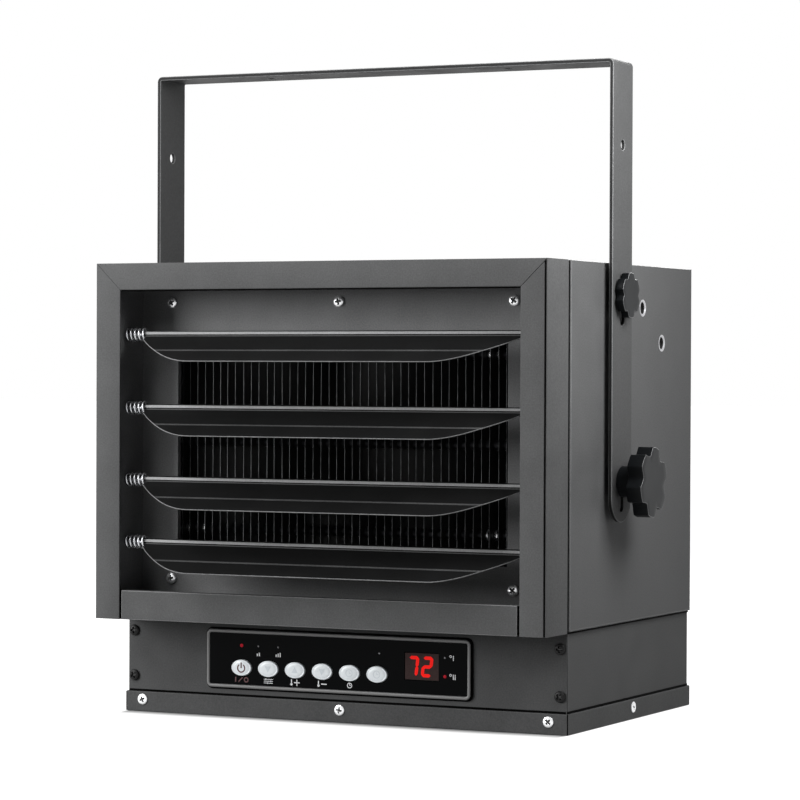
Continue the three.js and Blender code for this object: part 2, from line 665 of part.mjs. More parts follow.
// The least gap between two stretches of the wire that lie over half a turn apart.
function leastSelfGap(path) {
  let least = Infinity;
  for (let i = 0; i < path.length; i++) {
    for (let j = i + SPRING_STEPS / 2 + 1; j < path.length; j++) {
      least = Math.min(least, path[i].distanceTo(path[j]));
    }
  }
  return least - 2 * SPRING_WIRE_R;
}

louverHeights.forEach((height, i) => {
  const path = springPath(height);
  console.log(`louver_spring_${i + 1}: least gap to itself ${leastSelfGap(path).toFixed(2)} mm`);
  piece(heater, `louver_${i + 1}`, louver(height), BLACK_COAT);
  piece(heater, `louver_spring_${i + 1}`, wireAlong(path, height), ZINC);
});

// ---- control box, panel, bezel, buttons ---------------------------------------------------------
const PANEL_BACK = BOX_FRONT + SHEET;
const BOX_START = PANEL_BACK + GAP;
const GLAND_X = BOX_HALF - GLAND_SIDE;
const panelScrewHeights = [PAN_RIM + PANEL_SCREW_MARGIN, BOX_HEIGHT - PANEL_SCREW_MARGIN];
const panelScrews = Object.values(SIDES).flatMap((side) =>
  panelScrewHeights.map((z) => [side * (BOX_HALF - PANEL_SCREW_SIDE), z]),
);

function controlBox() {
  const innerHalf = BOX_HALF - SHEET;
  const outside = box([-BOX_HALF, BOX_HALF], [BOX_START, BOX_BACK], [FLOOR, BOX_HEIGHT]);
  const height = [0, BOX_HEIGHT - SHEET];
  const inside = box([-innerHalf, innerHalf], [BOX_START + SHEET, BOX_BACK - SHEET], height);
  const frontHalf = innerHalf - BOX_FLANGE_W;
  const mouth = box([-frontHalf, frontHalf], [BOX_START - 1, BOX_START + SHEET + 1], height);
  const inlet = rod("y", [BOX_BACK - 2 * SHEET, BOX_BACK + 1], [GLAND_X, GLAND_Z], GLAND_R + GAP, 20);
  return cut(outside, inside, mouth, inlet, ...screwHoles(panelScrews, [BOX_START, BOX_START + SHEET]));
}
piece(heater, "control_box", controlBox(), POWDER_COAT);

const BUTTON_SPAN = BUTTON_PITCH * (BUTTON_COUNT - 1);
const bezelHalf = (BUTTON_MARGIN + BUTTON_SPAN + DISPLAY_STEP + DISPLAY_MARGIN) / 2;
const bezelX = [BEZEL_X - bezelHalf, BEZEL_X + bezelHalf];
const bezelZ = [BEZEL_Z - BEZEL_H / 2, BEZEL_Z + BEZEL_H / 2];
const inset = ([low, high], by) => [low + by, high - by];
const windowX = inset(bezelX, WINDOW_INSET);
const windowZ = inset(bezelZ, WINDOW_INSET);

function controlPanel() {
  const plate = box([-BOX_HALF, BOX_HALF], [BOX_FRONT, PANEL_BACK], [FLOOR, BOX_HEIGHT]);
  const opening = box(windowX, [BOX_FRONT - 1, PANEL_BACK + 1], windowZ);
  return cut(plate, opening, ...screwHoles(panelScrews, [BOX_FRONT, PANEL_BACK]));
}
piece(heater, "control_panel", controlPanel(), POWDER_COAT);
panelScrews.forEach((at, i) => piece(heater, `panel_screw_${i + 1}`, screw(at, BOX_FRONT), BLACK_COAT));

const BEZEL_FACE = BOX_FRONT - BEZEL_PROUD;
const BEZEL_FLOOR = BEZEL_FACE + BEZEL_RECESS;
const BOARD_FACE = BOX_FRONT + BOARD_SETBACK;
const BUTTON_Z = BEZEL_Z - BUTTON_DROP;
const buttonX = Array.from({ length: BUTTON_COUNT }, (_, i) => bezelX[0] + BUTTON_MARGIN + i * BUTTON_PITCH);
const DISPLAY_X = bezelX[1] - DISPLAY_MARGIN;
const DISPLAY_Z = BEZEL_Z + DISPLAY_RISE;

function oval(x, z, halfW, halfH) {
  const shape = new THREE.Shape();
  shape.absellipse(x, z, halfW, halfH, 0, 2 * Math.PI, false, 0);
  return shape;
}

function controlBezel() {
  const back = BOX_FRONT - GAP;
  const through = [BEZEL_FACE - 1, back + 1];
  const body = alongY(roundedRect(bezelX, bezelZ, BEZEL_R), [BEZEL_FACE, back], 4);
  const innerR = BEZEL_R - BEZEL_RIM / 2;
  const face = roundedRect(inset(bezelX, BEZEL_RIM), inset(bezelZ, BEZEL_RIM), innerR);
  const recess = alongY(face, [BEZEL_FACE - 1, BEZEL_FLOOR], 4);
  const holes = buttonX.map((x) =>
    alongY(oval(x, BUTTON_Z, BUTTON_HALF_W + GAP, BUTTON_HALF_H + GAP), through, 8),
  );
  const displayX = inset([DISPLAY_X, DISPLAY_X], -DISPLAY_W / 2 - GAP);
  const displayZ = inset([DISPLAY_Z, DISPLAY_Z], -DISPLAY_H / 2 - GAP);
  const posts = inset(windowX, POST_INSET).flatMap((x) =>
    inset(windowZ, POST_INSET).map((z) => rod("y", [back - 1, BOARD_FACE - GAP], [x, z], POST_R, 10)),
  );
  return join(cut(body, recess, ...holes, box(displayX, through, displayZ)), ...posts);
}
piece(heater, "control_bezel", controlBezel(), GLOSS_BLACK);

function button(x) {
  const face = BEZEL_FLOOR - BUTTON_PROUD;
  const cap = alongY(oval(x, BUTTON_Z, BUTTON_HALF_W, BUTTON_HALF_H), [face, BOX_FRONT + GAP], 8);
  const stem = rod("y", [BOX_FRONT, BOARD_FACE - BUTTON_TRAVEL - GAP], [x, BUTTON_Z], BUTTON_STEM_R, 8);
  return join(cap, stem);
}
buttonX.forEach((x, i) => piece(heater, `button_${i + 1}`, button(x), WHITE_PLASTIC));

const displayModule = box(
  inset([DISPLAY_X, DISPLAY_X], -DISPLAY_W / 2),
  [BEZEL_FLOOR + GAP, BOARD_FACE - GAP],
  inset([DISPLAY_Z, DISPLAY_Z], -DISPLAY_H / 2),
);
piece(heater, "display_module", displayModule, RED_DISPLAY);

// The board with its relay, transformer and plug on the back.
// the board's parts, each from the bezel's middle: width, length back from the board, height
const RELAY_OFF = -60;
const RELAY = [22, 16, 15];
const TRANSFORMER_OFF = 28;
const TRANSFORMER = [32, 22, 24];
const PLUG_OFF = 82;
const PLUG = [20, 10, 8];

function controlBoard() {
  const back = BOARD_FACE + BOARD_T;
  const mounted = (x, z, [w, l, h]) =>
    box(inset([x, x], -w / 2), [back - BOARD_T / 2, back + l], inset([z, z], -h / 2));
  return join(
    box(windowX, [BOARD_FACE, back], windowZ),
    mounted(BEZEL_X + RELAY_OFF, BEZEL_Z, RELAY),
    mounted(BEZEL_X + TRANSFORMER_OFF, BEZEL_Z, TRANSFORMER),
    mounted(BEZEL_X + PLUG_OFF, BEZEL_Z, PLUG),
  );
}
piece(heater, "control_board", controlBoard(), CIRCUIT_GREEN);

// ---- base pan -----------------------------------------------------------------------------------
function basePan() {
  const half = BOX_HALF + GAP + SHEET;
  const front = BOX_FRONT - GAP - SHEET;
  const back = BOX_BACK + GAP + SHEET;
  const whole = box([-half, half], [front, back], [0, PAN_RIM]);
  const hollow = box([SHEET - half, half - SHEET], [front + SHEET, back - SHEET], [SHEET, PAN_RIM + 1]);
  return cut(whole, hollow);
}
piece(heater, "base_pan", basePan(), POWDER_COAT);

// ---- back panel, guard, motor, fan, shroud ------------------------------------------------------
const FIT = 0.5; // round the plates that slide into the cabinet
const plateX = [FIT - INNER_HALF, INNER_HALF - FIT];
const plateZ = [INNER_BOTTOM + FIT, INNER_TOP - FIT];
const ROUND = 32; // sides of the large circles

const backPanel = cut(
  box(plateX, [PANEL_FRONT, PANEL_FRONT + SHEET], plateZ),
  rod("y", [PANEL_FRONT - 1, PANEL_FRONT + SHEET + 1], FAN_AXIS, INLET_R, ROUND),
);
piece(heater, "back_panel", backPanel, POWDER_COAT);

function rearGuard() {
  const depth = [CABINET_BACK, CABINET_BACK + GUARD_T];
  const through = [depth[0] - 1, depth[1] + 1];
  const ring = (outer, inner) =>
    cut(rod("y", depth, FAN_AXIS, outer, 24), rod("y", through, FAN_AXIS, inner, 24));
  const pitch = (INLET_R - FAN_HUB_R) / (GUARD_RINGS + 1);
  const rings = Array.from({ length: GUARD_RINGS }, (_, i) => {
    const r = FAN_HUB_R + pitch * (i + 1);
    return ring(r + GUARD_RING_W / 2, r - GUARD_RING_W / 2);
  });
  const reach = INLET_R + 2;
  const [x, z] = FAN_AXIS;
  const bars = [
    box([x - reach, x + reach], depth, [z - GUARD_BAR_W / 2, z + GUARD_BAR_W / 2]),
    box([x - GUARD_BAR_W / 2, x + GUARD_BAR_W / 2], depth, [z - reach, z + reach]),
  ];
  const middle = rod("y", depth, FAN_AXIS, FAN_HUB_R, 16);
  return join(ring(INLET_R + GUARD_OVERLAP, INLET_R), middle, ...rings, ...bars);
}
piece(heater, "rear_guard", rearGuard(), BLACK_COAT);

// A strap behind the motor with a foot on the back panel above and below the inlet.
function motorBracket() {
  const [, z] = FAN_AXIS;
  const reach = INLET_R + MOTOR_STRAP_REACH;
  const across = [-MOTOR_STRAP_W / 2, MOTOR_STRAP_W / 2];
  const whole = box(across, [STRAP_FRONT, PANEL_FRONT - GAP], [z - reach, z + reach]);
  const room = [STRAP_FRONT + MOTOR_STRAP_T, PANEL_FRONT];
  const inside = reach - MOTOR_STRAP_T;
  return cut(whole, box([-MOTOR_STRAP_W, MOTOR_STRAP_W], room, [z - inside, z + inside]));
}
piece(heater, "motor_bracket", motorBracket(), DARK_STEEL);

const fanMotor = turned(
  "y",
  [
    [0, FAN_FRONT + 2],
    [SHAFT_R, FAN_FRONT + 2],
    [SHAFT_R, MOTOR_FRONT - MOTOR_BOSS_L],
    [MOTOR_BOSS_R, MOTOR_FRONT - MOTOR_BOSS_L],
    [MOTOR_BOSS_R, MOTOR_FRONT],
    [MOTOR_R * 0.88, MOTOR_FRONT],
    [MOTOR_R, MOTOR_FRONT + MOTOR_BOSS_L],
    [MOTOR_R, MOTOR_BACK - MOTOR_BOSS_L],
    [MOTOR_R * 0.88, MOTOR_BACK],
    [0, MOTOR_BACK],
  ],
  FAN_AXIS,
  20,
);
piece(heater, "fan_motor", fanMotor, DARK_STEEL);

function fanBlade() {
  const hubDepth = [FAN_FRONT, FAN_FRONT + FAN_HUB_L];
  const [, height] = FAN_AXIS;
  const rootR = FAN_HUB_R * 0.8;
  const half = BLADE_CHORD / 2;
  const middle = FAN_FRONT + FAN_HUB_L / 2;
  const blades = Array.from({ length: BLADE_COUNT }, (_, i) => {
    const shape = new THREE.Shape();
    shape.moveTo(-half * 0.35, rootR);
    shape.lineTo(half * 0.35, rootR);
    shape.quadraticCurveTo(half, FAN_R * 0.5, half, FAN_R * 0.85);
    shape.quadraticCurveTo(half * 0.9, FAN_R * 0.93, 0, FAN_R * 0.985);
    shape.quadraticCurveTo(-half * 0.9, FAN_R * 0.93, -half, FAN_R * 0.8);
    const options = { depth: BLADE_T, bevelEnabled: false, curveSegments: 4 };
    const geometry = new THREE.ExtrudeGeometry(shape, options).translate(0, 0, -BLADE_T / 2);
    geometry.rotateX(Math.PI / 2).rotateZ(turn(BLADE_PITCH)).rotateY((2 * Math.PI * i) / BLADE_COUNT);
    return solid(geometry.translate(0, middle, height));
  });
  const hub = rod("y", hubDepth, FAN_AXIS, FAN_HUB_R, 20);
  return cut(
    join(hub, ...blades),
    rod("y", [hubDepth[0] - 1, hubDepth[1] + 1], FAN_AXIS, SHAFT_R + GAP, 16),
  );
}
piece(heater, "fan_blade", fanBlade(), BARE_STEEL);

const ringR = FAN_R + TIP_CLEARANCE;
const ringDepth = [SHROUD_PLATE - SHROUD_RING_L, SHROUD_PLATE - GAP];
const ringHole = rod("y", [ringDepth[0] - 1, SHROUD_PLATE + SHEET + 1], FAN_AXIS, ringR, ROUND);
const shroudPlate = box(plateX, [SHROUD_PLATE, SHROUD_PLATE + SHEET], plateZ);
const shroudRing = rod("y", ringDepth, FAN_AXIS, ringR + SHEET, ROUND);
piece(heater, "fan_shroud", cut(shroudPlate, ringHole), DARK_STEEL);
piece(heater, "shroud_ring", cut(shroudRing, ringHole), DARK_STEEL);

// ---- heating element ----------------------------------------------------------------------------
const tubeDepth = ELEMENT_FRONT + ELEMENT_DEPTH / 2;
const finZ = [OUTLET_BOTTOM - FIN_OVERLAP, OUTLET_TOP + FIN_OVERLAP];
const tubePitch = (finZ[1] - finZ[0]) / TUBE_ROWS;
const tubeHeights = Array.from({ length: TUBE_ROWS }, (_, i) => finZ[0] + tubePitch * (i + 0.5));

function heatingElement() {
  const tubeEnd = END_PLATE_X + SHEET + TUBE_OVERHANG;
  const tubes = tubeHeights.map((z) => rod("x", [-tubeEnd, tubeEnd], [tubeDepth, z], TUBE_R, 6));
  const reach = END_PLATE_X - FIN_END_ROOM;
  const count = Math.floor((2 * reach) / FIN_PITCH) + 1;
  const depth = [ELEMENT_FRONT, ELEMENT_FRONT + ELEMENT_DEPTH];
  const fins = Array.from({ length: count }, (_, i) => {
    const x = FIN_PITCH * (i - (count - 1) / 2);
    return box([x - FIN_T / 2, x + FIN_T / 2], depth, finZ);
  });
  return join(...tubes, ...fins);
}
piece(heater, "heating_element", heatingElement(), DARK_STEEL);

function endPlate(side) {
  const x = span(side, END_PLATE_X, END_PLATE_X + SHEET);
  const depth = [CABINET_FRONT + SHEET + GAP, ELEMENT_FRONT + ELEMENT_DEPTH + PLATE_OVERLAP];
  const plate = box(x, depth, [INNER_BOTTOM + GAP, INNER_TOP - GAP]);
  const holes = tubeHeights.map((z) => rod("x", [x[0] - 1, x[1] + 1], [tubeDepth, z], TUBE_R + GAP, 10));
  return cut(plate, ...holes);
}
for (const [name, side] of Object.entries(SIDES)) {
  piece(heater, `element_plate_${name}`, endPlate(side), BARE_STEEL);
}

// ---- electrical pieces --------------------------------------------------------------------------
// A round cut-out with two blade tabs, on the front of the shroud's plate.
function thermalCutout() {
  const back = SHROUD_PLATE - GAP;
  const x = CABINET_HALF - CUTOUT_SIDE;
  const z = CABINET_TOP - CUTOUT_DROP;
  const tabZ = [z - CUTOUT_R / 3, z + CUTOUT_R / 3];
  const tab = (at) => box([at - TAB_T / 2, at + TAB_T / 2], [back - 2 * CUTOUT_L, back - CUTOUT_L + 1], tabZ);
  const body = rod("y", [back - CUTOUT_L, back], [x, z], CUTOUT_R, 16);
  return join(body, tab(x - CUTOUT_R / 2), tab(x + CUTOUT_R / 2));
}
piece(heater, "thermal_cutout", thermalCutout(), BARE_STEEL);

function contactor() {
  const { x, setback, w, d, h } = CONTACTOR;
  const y = BOX_FRONT + setback;
  return join(
    box([x - w / 2, x + w / 2], [y - d / 2, y + d / 2], [FLOOR, FLOOR + h * 0.6]),
    box([x - w / 2, x + w / 2], [y - d * 0.28, y + d * 0.28], [FLOOR, FLOOR + h]),
  );
}
piece(heater, "contactor", contactor(), BLACK_PLASTIC);

function terminalBlock() {
  const { x, fromBack, w, d, h, ways, wall } = TERMINALS;
  const y = BOX_BACK - fromBack;
  const pitch = (w - wall) / ways;
  const body = box([x - w / 2, x + w / 2], [y - d / 2, y + d / 2], [FLOOR, FLOOR + h]);
  const pockets = Array.from({ length: ways }, (_, i) => {
    const left = x - w / 2 + wall + i * pitch;
    return box([left, left + pitch - wall], [y - d / 2 - 1, y + d / 2 + 1], [FLOOR + h / 2, FLOOR + h + 1]);
  });
  return cut(body, ...pockets);
}
piece(heater, "terminal_block", terminalBlock(), CREAM_PLASTIC);

const glandSeat = BOX_BACK + GAP;
const glandIn = BOX_BACK - GLAND_TAIL;
const cableGland = turned(
  "y",
  [
    [GLAND_BORE_R, glandIn],
    [GLAND_R, glandIn],
    [GLAND_R, glandSeat],
    [GLAND_NUT_R, glandSeat],
    [GLAND_NUT_R, glandSeat + GLAND_NUT_L * 0.6],
    [GLAND_R, glandSeat + GLAND_NUT_L],
    [GLAND_BORE_R, glandSeat + GLAND_NUT_L],
    [GLAND_BORE_R, glandIn],
  ],
  [GLAND_X, GLAND_Z],
  16,
);
piece(heater, "cable_gland", cableGland, BLACK_PLASTIC);

export default group;
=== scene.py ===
"""A louvred ceiling fan heater on a pale studio floor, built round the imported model. Lengths are in
millimetres in the frame of the model until a mesh is made, and in metres from there."""

import json
import math
import random

import bmesh
import bpy
from mathutils import Matrix, Vector
from mathutils.geometry import delaunay_2d_cdt

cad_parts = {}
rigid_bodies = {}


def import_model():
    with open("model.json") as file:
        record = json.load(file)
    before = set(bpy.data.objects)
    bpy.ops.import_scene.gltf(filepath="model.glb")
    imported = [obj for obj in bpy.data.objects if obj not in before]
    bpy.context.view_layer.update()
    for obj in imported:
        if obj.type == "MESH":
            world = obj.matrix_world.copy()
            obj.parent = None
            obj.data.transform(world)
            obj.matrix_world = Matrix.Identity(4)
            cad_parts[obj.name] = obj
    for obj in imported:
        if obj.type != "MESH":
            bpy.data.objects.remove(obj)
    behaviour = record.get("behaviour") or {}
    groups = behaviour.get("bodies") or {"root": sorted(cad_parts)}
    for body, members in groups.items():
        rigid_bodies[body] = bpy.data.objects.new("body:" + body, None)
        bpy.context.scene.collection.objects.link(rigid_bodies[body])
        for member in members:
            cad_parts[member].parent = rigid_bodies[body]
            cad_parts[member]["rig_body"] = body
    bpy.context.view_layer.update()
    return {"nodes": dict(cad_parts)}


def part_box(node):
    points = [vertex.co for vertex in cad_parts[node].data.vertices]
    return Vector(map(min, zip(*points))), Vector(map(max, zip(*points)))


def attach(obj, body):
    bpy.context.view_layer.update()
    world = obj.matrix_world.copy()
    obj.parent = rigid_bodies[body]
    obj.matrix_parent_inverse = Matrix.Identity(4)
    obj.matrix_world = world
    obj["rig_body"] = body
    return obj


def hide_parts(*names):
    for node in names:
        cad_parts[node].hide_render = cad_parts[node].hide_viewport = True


MM = 0.001
FLOOR_Z = -490
SHEET = 1.2

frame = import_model()
nodes = frame["nodes"]
scene = bpy.context.scene


# ---- camera ----
CAMERA_AT = (1.0827, -2.1853, -0.2282)
CAMERA_LOOK = (-0.44042, 0.89774, -0.009485)
CAMERA_ROLL = math.radians(0.219)


def add_camera():
    data = bpy.data.cameras.new("camera")
    data.lens = 144
    data.sensor_width = 36
    data.clip_end = 100
    camera = bpy.data.objects.new("camera", data)
    scene.collection.objects.link(camera)
    forward = Vector(CAMERA_LOOK).normalized()
    level = forward.cross(Vector((0, 0, 1))).normalized()
    above = level.cross(forward)
    right = level * math.cos(CAMERA_ROLL) + above * math.sin(CAMERA_ROLL)
    facing = Matrix((right, right.cross(forward), -forward)).transposed().to_4x4()
    camera.matrix_world = Matrix.Translation(CAMERA_AT) @ facing
    scene.camera = camera


add_camera()


# ---- materials ----
def grey(level, blue=1.0):
    """A linear grey from an 8-bit display level, a little bluer if blue is above 1."""
    c = level / 255
    c = c / 12.92 if c <= 0.04045 else ((c + 0.055) / 1.055) ** 2.4
    return (c, c * (1 + blue) / 2, c * blue)


def add_node(tree, kind, values, **settings):
    """A node with its inputs filled in: a socket is linked, any other value is set on the input."""
    node = tree.nodes.new(kind)
    for name, value in settings.items():
        setattr(node, name, value)
    for key, value in values.items():
        if isinstance(value, bpy.types.NodeSocket):
            tree.links.new(value, node.inputs[key])
        else:
            node.inputs[key].default_value = value
    return node


def surface(name, colour, rough, spread=0.1, rough_spread=0.08, grain=900, cloud=14, bump=0.05,
            stretch=(1, 1, 1), **sockets):
    """A surface whose colour drifts in large clouds and fine grain, with uneven gloss and a fine bump.
    grain and cloud are in features a metre."""
    made = bpy.data.materials.new(name)
    made.use_nodes = True
    tree = made.node_tree
    shader = tree.nodes["Principled BSDF"]
    place = tree.nodes.new("ShaderNodeTexCoord").outputs["Object"]
    mapping = add_node(tree, "ShaderNodeMapping", {"Scale": stretch, "Vector": place})

    def noise(scale, detail):
        values = {"Scale": scale, "Detail": detail, "Vector": mapping.outputs["Vector"]}
        return add_node(tree, "ShaderNodeTexNoise", values).outputs["Fac"]

    def tones(factor, share):
        node = add_node(tree, "ShaderNodeValToRGB", {"Fac": factor})
        for stop, position, level in zip(node.color_ramp.elements, (0.3, 0.7), (1 - share, 1 + share)):
            stop.position = position
            stop.color = (*[min(1, c * level) for c in colour], 1)
        return node.outputs["Color"]

    clouds = noise(cloud, 3)
    fine = noise(grain, 2)
    stops = {"Fac": 0.5, 1: tones(clouds, spread), 2: tones(fine, 1.5 * spread)}
    blend = add_node(tree, "ShaderNodeMixRGB", stops)
    tree.links.new(blend.outputs["Color"], shader.inputs["Base Color"])
    limits = {
        "Value": clouds, "From Min": 0.25, "From Max": 0.75,
        "To Min": max(0.02, rough - rough_spread), "To Max": min(1, rough + rough_spread),
    }
    gloss = add_node(tree, "ShaderNodeMapRange", limits)
    tree.links.new(gloss.outputs["Result"], shader.inputs["Roughness"])
    relief = add_node(tree, "ShaderNodeBump", {"Strength": bump, "Distance": 0.0003, "Height": fine})
    tree.links.new(relief.outputs["Normal"], shader.inputs["Normal"])
    for socket, value in sockets.items():
        shader.inputs[socket.replace("_", " ")].default_value = value
    return made


SPECULAR = "Specular IOR Level"


def coat(name, level, rough=0.5, spread=0.16):
    """Powder coat of a grey level."""
    return surface(name, grey(level, 1.02), rough, spread, cloud=35, bump=0.12, **{SPECULAR: 0.04})


# The frame, cabinet, box, tray and strap each have their own grey, set so that the light and shade falling
# on each piece are painted into its colour: painted light and shade. Each edge copy is the coat in another
# grey on the rounded edges: a painted highlight, and on the tray a painted shade.
FRAME_COAT = coat("frame_coat", 88)
FRAME_EDGE_HIGHLIGHT = coat("frame_coat_painted_highlight", 128, 0.42, spread=0.2)
SIDE_COAT = coat("cabinet_coat", 95)
SIDE_EDGE_HIGHLIGHT = coat("cabinet_coat_painted_highlight", 116, 0.42, spread=0.2)
BOX_COAT = coat("box_coat", 80)
BOX_EDGE_HIGHLIGHT = coat("box_coat_painted_highlight", 84, 0.42, spread=0.2)
TRAY_COAT = coat("tray_coat", 116)
TRAY_EDGE_SHADE = coat("tray_coat_painted_edge_shade", 108, 0.42, spread=0.2)
# Thin strips along the outlet's edges in a lighter grey: painted highlight.
LIP_HIGHLIGHT = coat("outlet_lip_painted_highlight", 130)
STRAP_COAT = coat("strap_coat", 80)
STRAP_EDGE_HIGHLIGHT = coat("strap_coat_painted_highlight", 124, 0.45, spread=0.2)
# The strap's rims in a dark grey: painted shade.
STRAP_RIM_SHADE = coat("strap_rim_painted_shade", 46, 0.5, spread=0.2)
BLADE_COAT = coat("blade_coat", 22, 0.42)
# The blades' rims and rounded edges in a light grey: painted highlight.
BLADE_EDGE_HIGHLIGHT = coat("blade_coat_painted_highlight", 128, 0.4, spread=0.3)
# A strip along the blades' crease in a lighter grey: painted highlight.
CREASE_HIGHLIGHT = coat("blade_crease_painted_highlight", 70, 0.4, spread=0.3)
# The rolled edges: a light band is a painted highlight, a mid grey band a painted sheen, and the dark coat
# round them also paints the shade along the top.
ROLL_HIGHLIGHT = coat("roll_painted_highlight", 145, 0.3)
ROLL_LOW_SHEEN = coat("roll_painted_low_sheen", 92, 0.4)
ROLL_DARK_AND_SHADE = coat("roll_coat_and_painted_shade", 12, 0.4)
ZINC = surface("bright_zinc", (0.88, 0.89, 0.91), 0.28, spread=0.12, grain=2500, Metallic=0.75)
INSERT_ZINC = surface("insert_zinc", (0.52, 0.52, 0.54), 0.35, spread=0.2, grain=2500, Metallic=0.6)
CHROME_WIRE = surface("plated_wire", (0.66, 0.67, 0.69), 0.2, spread=0.1, grain=2500, Metallic=0.75)
BLACK_SCREW = surface("black_screw", grey(24), 0.4, grain=2500, **{SPECULAR: 0.15})
# Faces in screw recesses and insert bores. For the zinc screws and inserts it is darker than the zinc:
# painted shade in the recesses.
DARK_BORE = surface("dark_bore", grey(45), 0.5, grain=2500, Metallic=0.5)
KNOB = surface("knob_plastic", grey(17, 1.3), 0.4, grain=1500, bump=0.1, **{SPECULAR: 0.1})
# A lighter grey for the knobs' face rims and the black parts' rounded edges: painted highlight.
KNOB_HIGHLIGHT = surface("knob_plastic_painted_highlight", grey(70, 1.05), 0.4, spread=0.25, grain=1500, bump=0.08)
RIM = surface("rim_plastic", grey(108), 0.42, grain=1500, bump=0.05)
GLASS = surface(
    "panel_gloss", grey(4, 1.5), 0.08, spread=0.15, rough_spread=0.02, bump=0.01, **{SPECULAR: 0.03}
)
BUTTON_WHITE = surface("button_white", (0.88, 0.93, 0.96), 0.3, spread=0.03, grain=1800, bump=0.03)
BUTTON_MARK = surface("button_mark", (0.72, 0.78, 0.82), 0.35, spread=0.05, bump=0.03)
RED_MARK = surface("red_mark", (0.06, 0.003, 0.006), 0.4, spread=0.1, bump=0.03)
PALE_MARK = surface("pale_mark", (0.82, 0.83, 0.85), 0.5, spread=0.1, bump=0.03)
WINDOW = surface("display_window", (0.05, 0.032, 0.031), 0.4, spread=0.15, bump=0.02, **{SPECULAR: 0.03})
DARK_LAMP = surface("lamp_off", (0.16, 0.16, 0.17), 0.25, spread=0.1, bump=0.02)
BARE_STEEL = surface(
    "bare_steel", (0.42, 0.43, 0.45), 0.38, stretch=(1, 1, 12), grain=300, bump=0.05, Metallic=1
)
TUBE_STEEL = surface("tube_steel", (0.05, 0.05, 0.055), 0.35, spread=0.3, grain=300, cloud=60, Metallic=0.8)
# Black, for black parts and for strips put where there is only shade: painted shade.
BLACK_AND_SHADE = surface("black_and_painted_shade", grey(6), 0.8, grain=1500, bump=0.1, **{SPECULAR: 0.03})
DARK_STEEL = surface("dark_steel", grey(48), 0.5, grain=1200, Metallic=0.4)
FIN_STEEL = surface("fin_steel", grey(28), 0.5, spread=0.25, grain=700, **{SPECULAR: 0.15})
# The fins' rims in a lighter, uneven grey: painted highlight.
FIN_EDGE_HIGHLIGHT = surface("fin_edge_painted_highlight", grey(128, 1.06), 0.4, spread=0.7, grain=160, cloud=60, **{SPECULAR: 0.2})
GREEN_BOARD = surface("green_board", (0.015, 0.09, 0.04), 0.4, grain=1200)
CREAM = surface("cream_plastic", (0.6, 0.55, 0.45), 0.45, grain=1500)
SIDE_FINISH = (SIDE_COAT, SIDE_EDGE_HIGHLIGHT, "powder_coat")
BOX_FINISH = (BOX_COAT, BOX_EDGE_HIGHLIGHT, "powder_coat")
DARK_FINISH = (DARK_STEEL, DARK_STEEL, "dark_steel")
BARE_FINISH = (BARE_STEEL, BARE_STEEL, "bare_steel")
BLACK_FINISH = (KNOB, KNOB_HIGHLIGHT, "black_plastic")


def glowing(name, colour, strength):
    made = surface(name, colour, 0.5, spread=0.08, bump=0.02, **{SPECULAR: 0.02})
    shader = made.node_tree.nodes["Principled BSDF"]
    shader.inputs["Emission Color"].default_value = (*colour, 1)
    shader.inputs["Emission Strength"].default_value = strength
    return made


DIGIT_RED = glowing("digit_glow", (0.72, 0.015, 0.012), 0.55)
LAMP_RED = glowing("lamp_glow", (0.3, 0.012, 0.02), 0.45)


# ---- mesh tools ----
def piece(name, mesh, body, *materials, stands_for=(), slot=None):
    for material in materials:
        mesh.materials.append(material)
    obj = bpy.data.objects.new(name, mesh)
    scene.collection.objects.link(obj)
    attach(obj, body)
    if stands_for:
        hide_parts(*stands_for)
    return obj


def mesh_of(bm):
    mesh = bpy.data.meshes.new("mesh")
    bm.to_mesh(mesh)
    bm.free()
    return mesh


def smooth(bm, angle=35):
    """A mesh with smooth faces, but for edges sharper than the angle."""
    mesh = mesh_of(bm)
    mesh.polygons.foreach_set("use_smooth", [True] * len(mesh.polygons))
    mesh.set_sharp_from_angle(angle=math.radians(angle))
    return mesh


def room_across(face, edge):
    along = (edge.verts[1].co - edge.verts[0].co).normalized()
    across = face.normal.cross(along)
    spread = [v.co.dot(across) for v in face.verts]
    return max(spread) - min(spread)


SHARP = math.radians(40)
ROOM_SHARE = 0.3


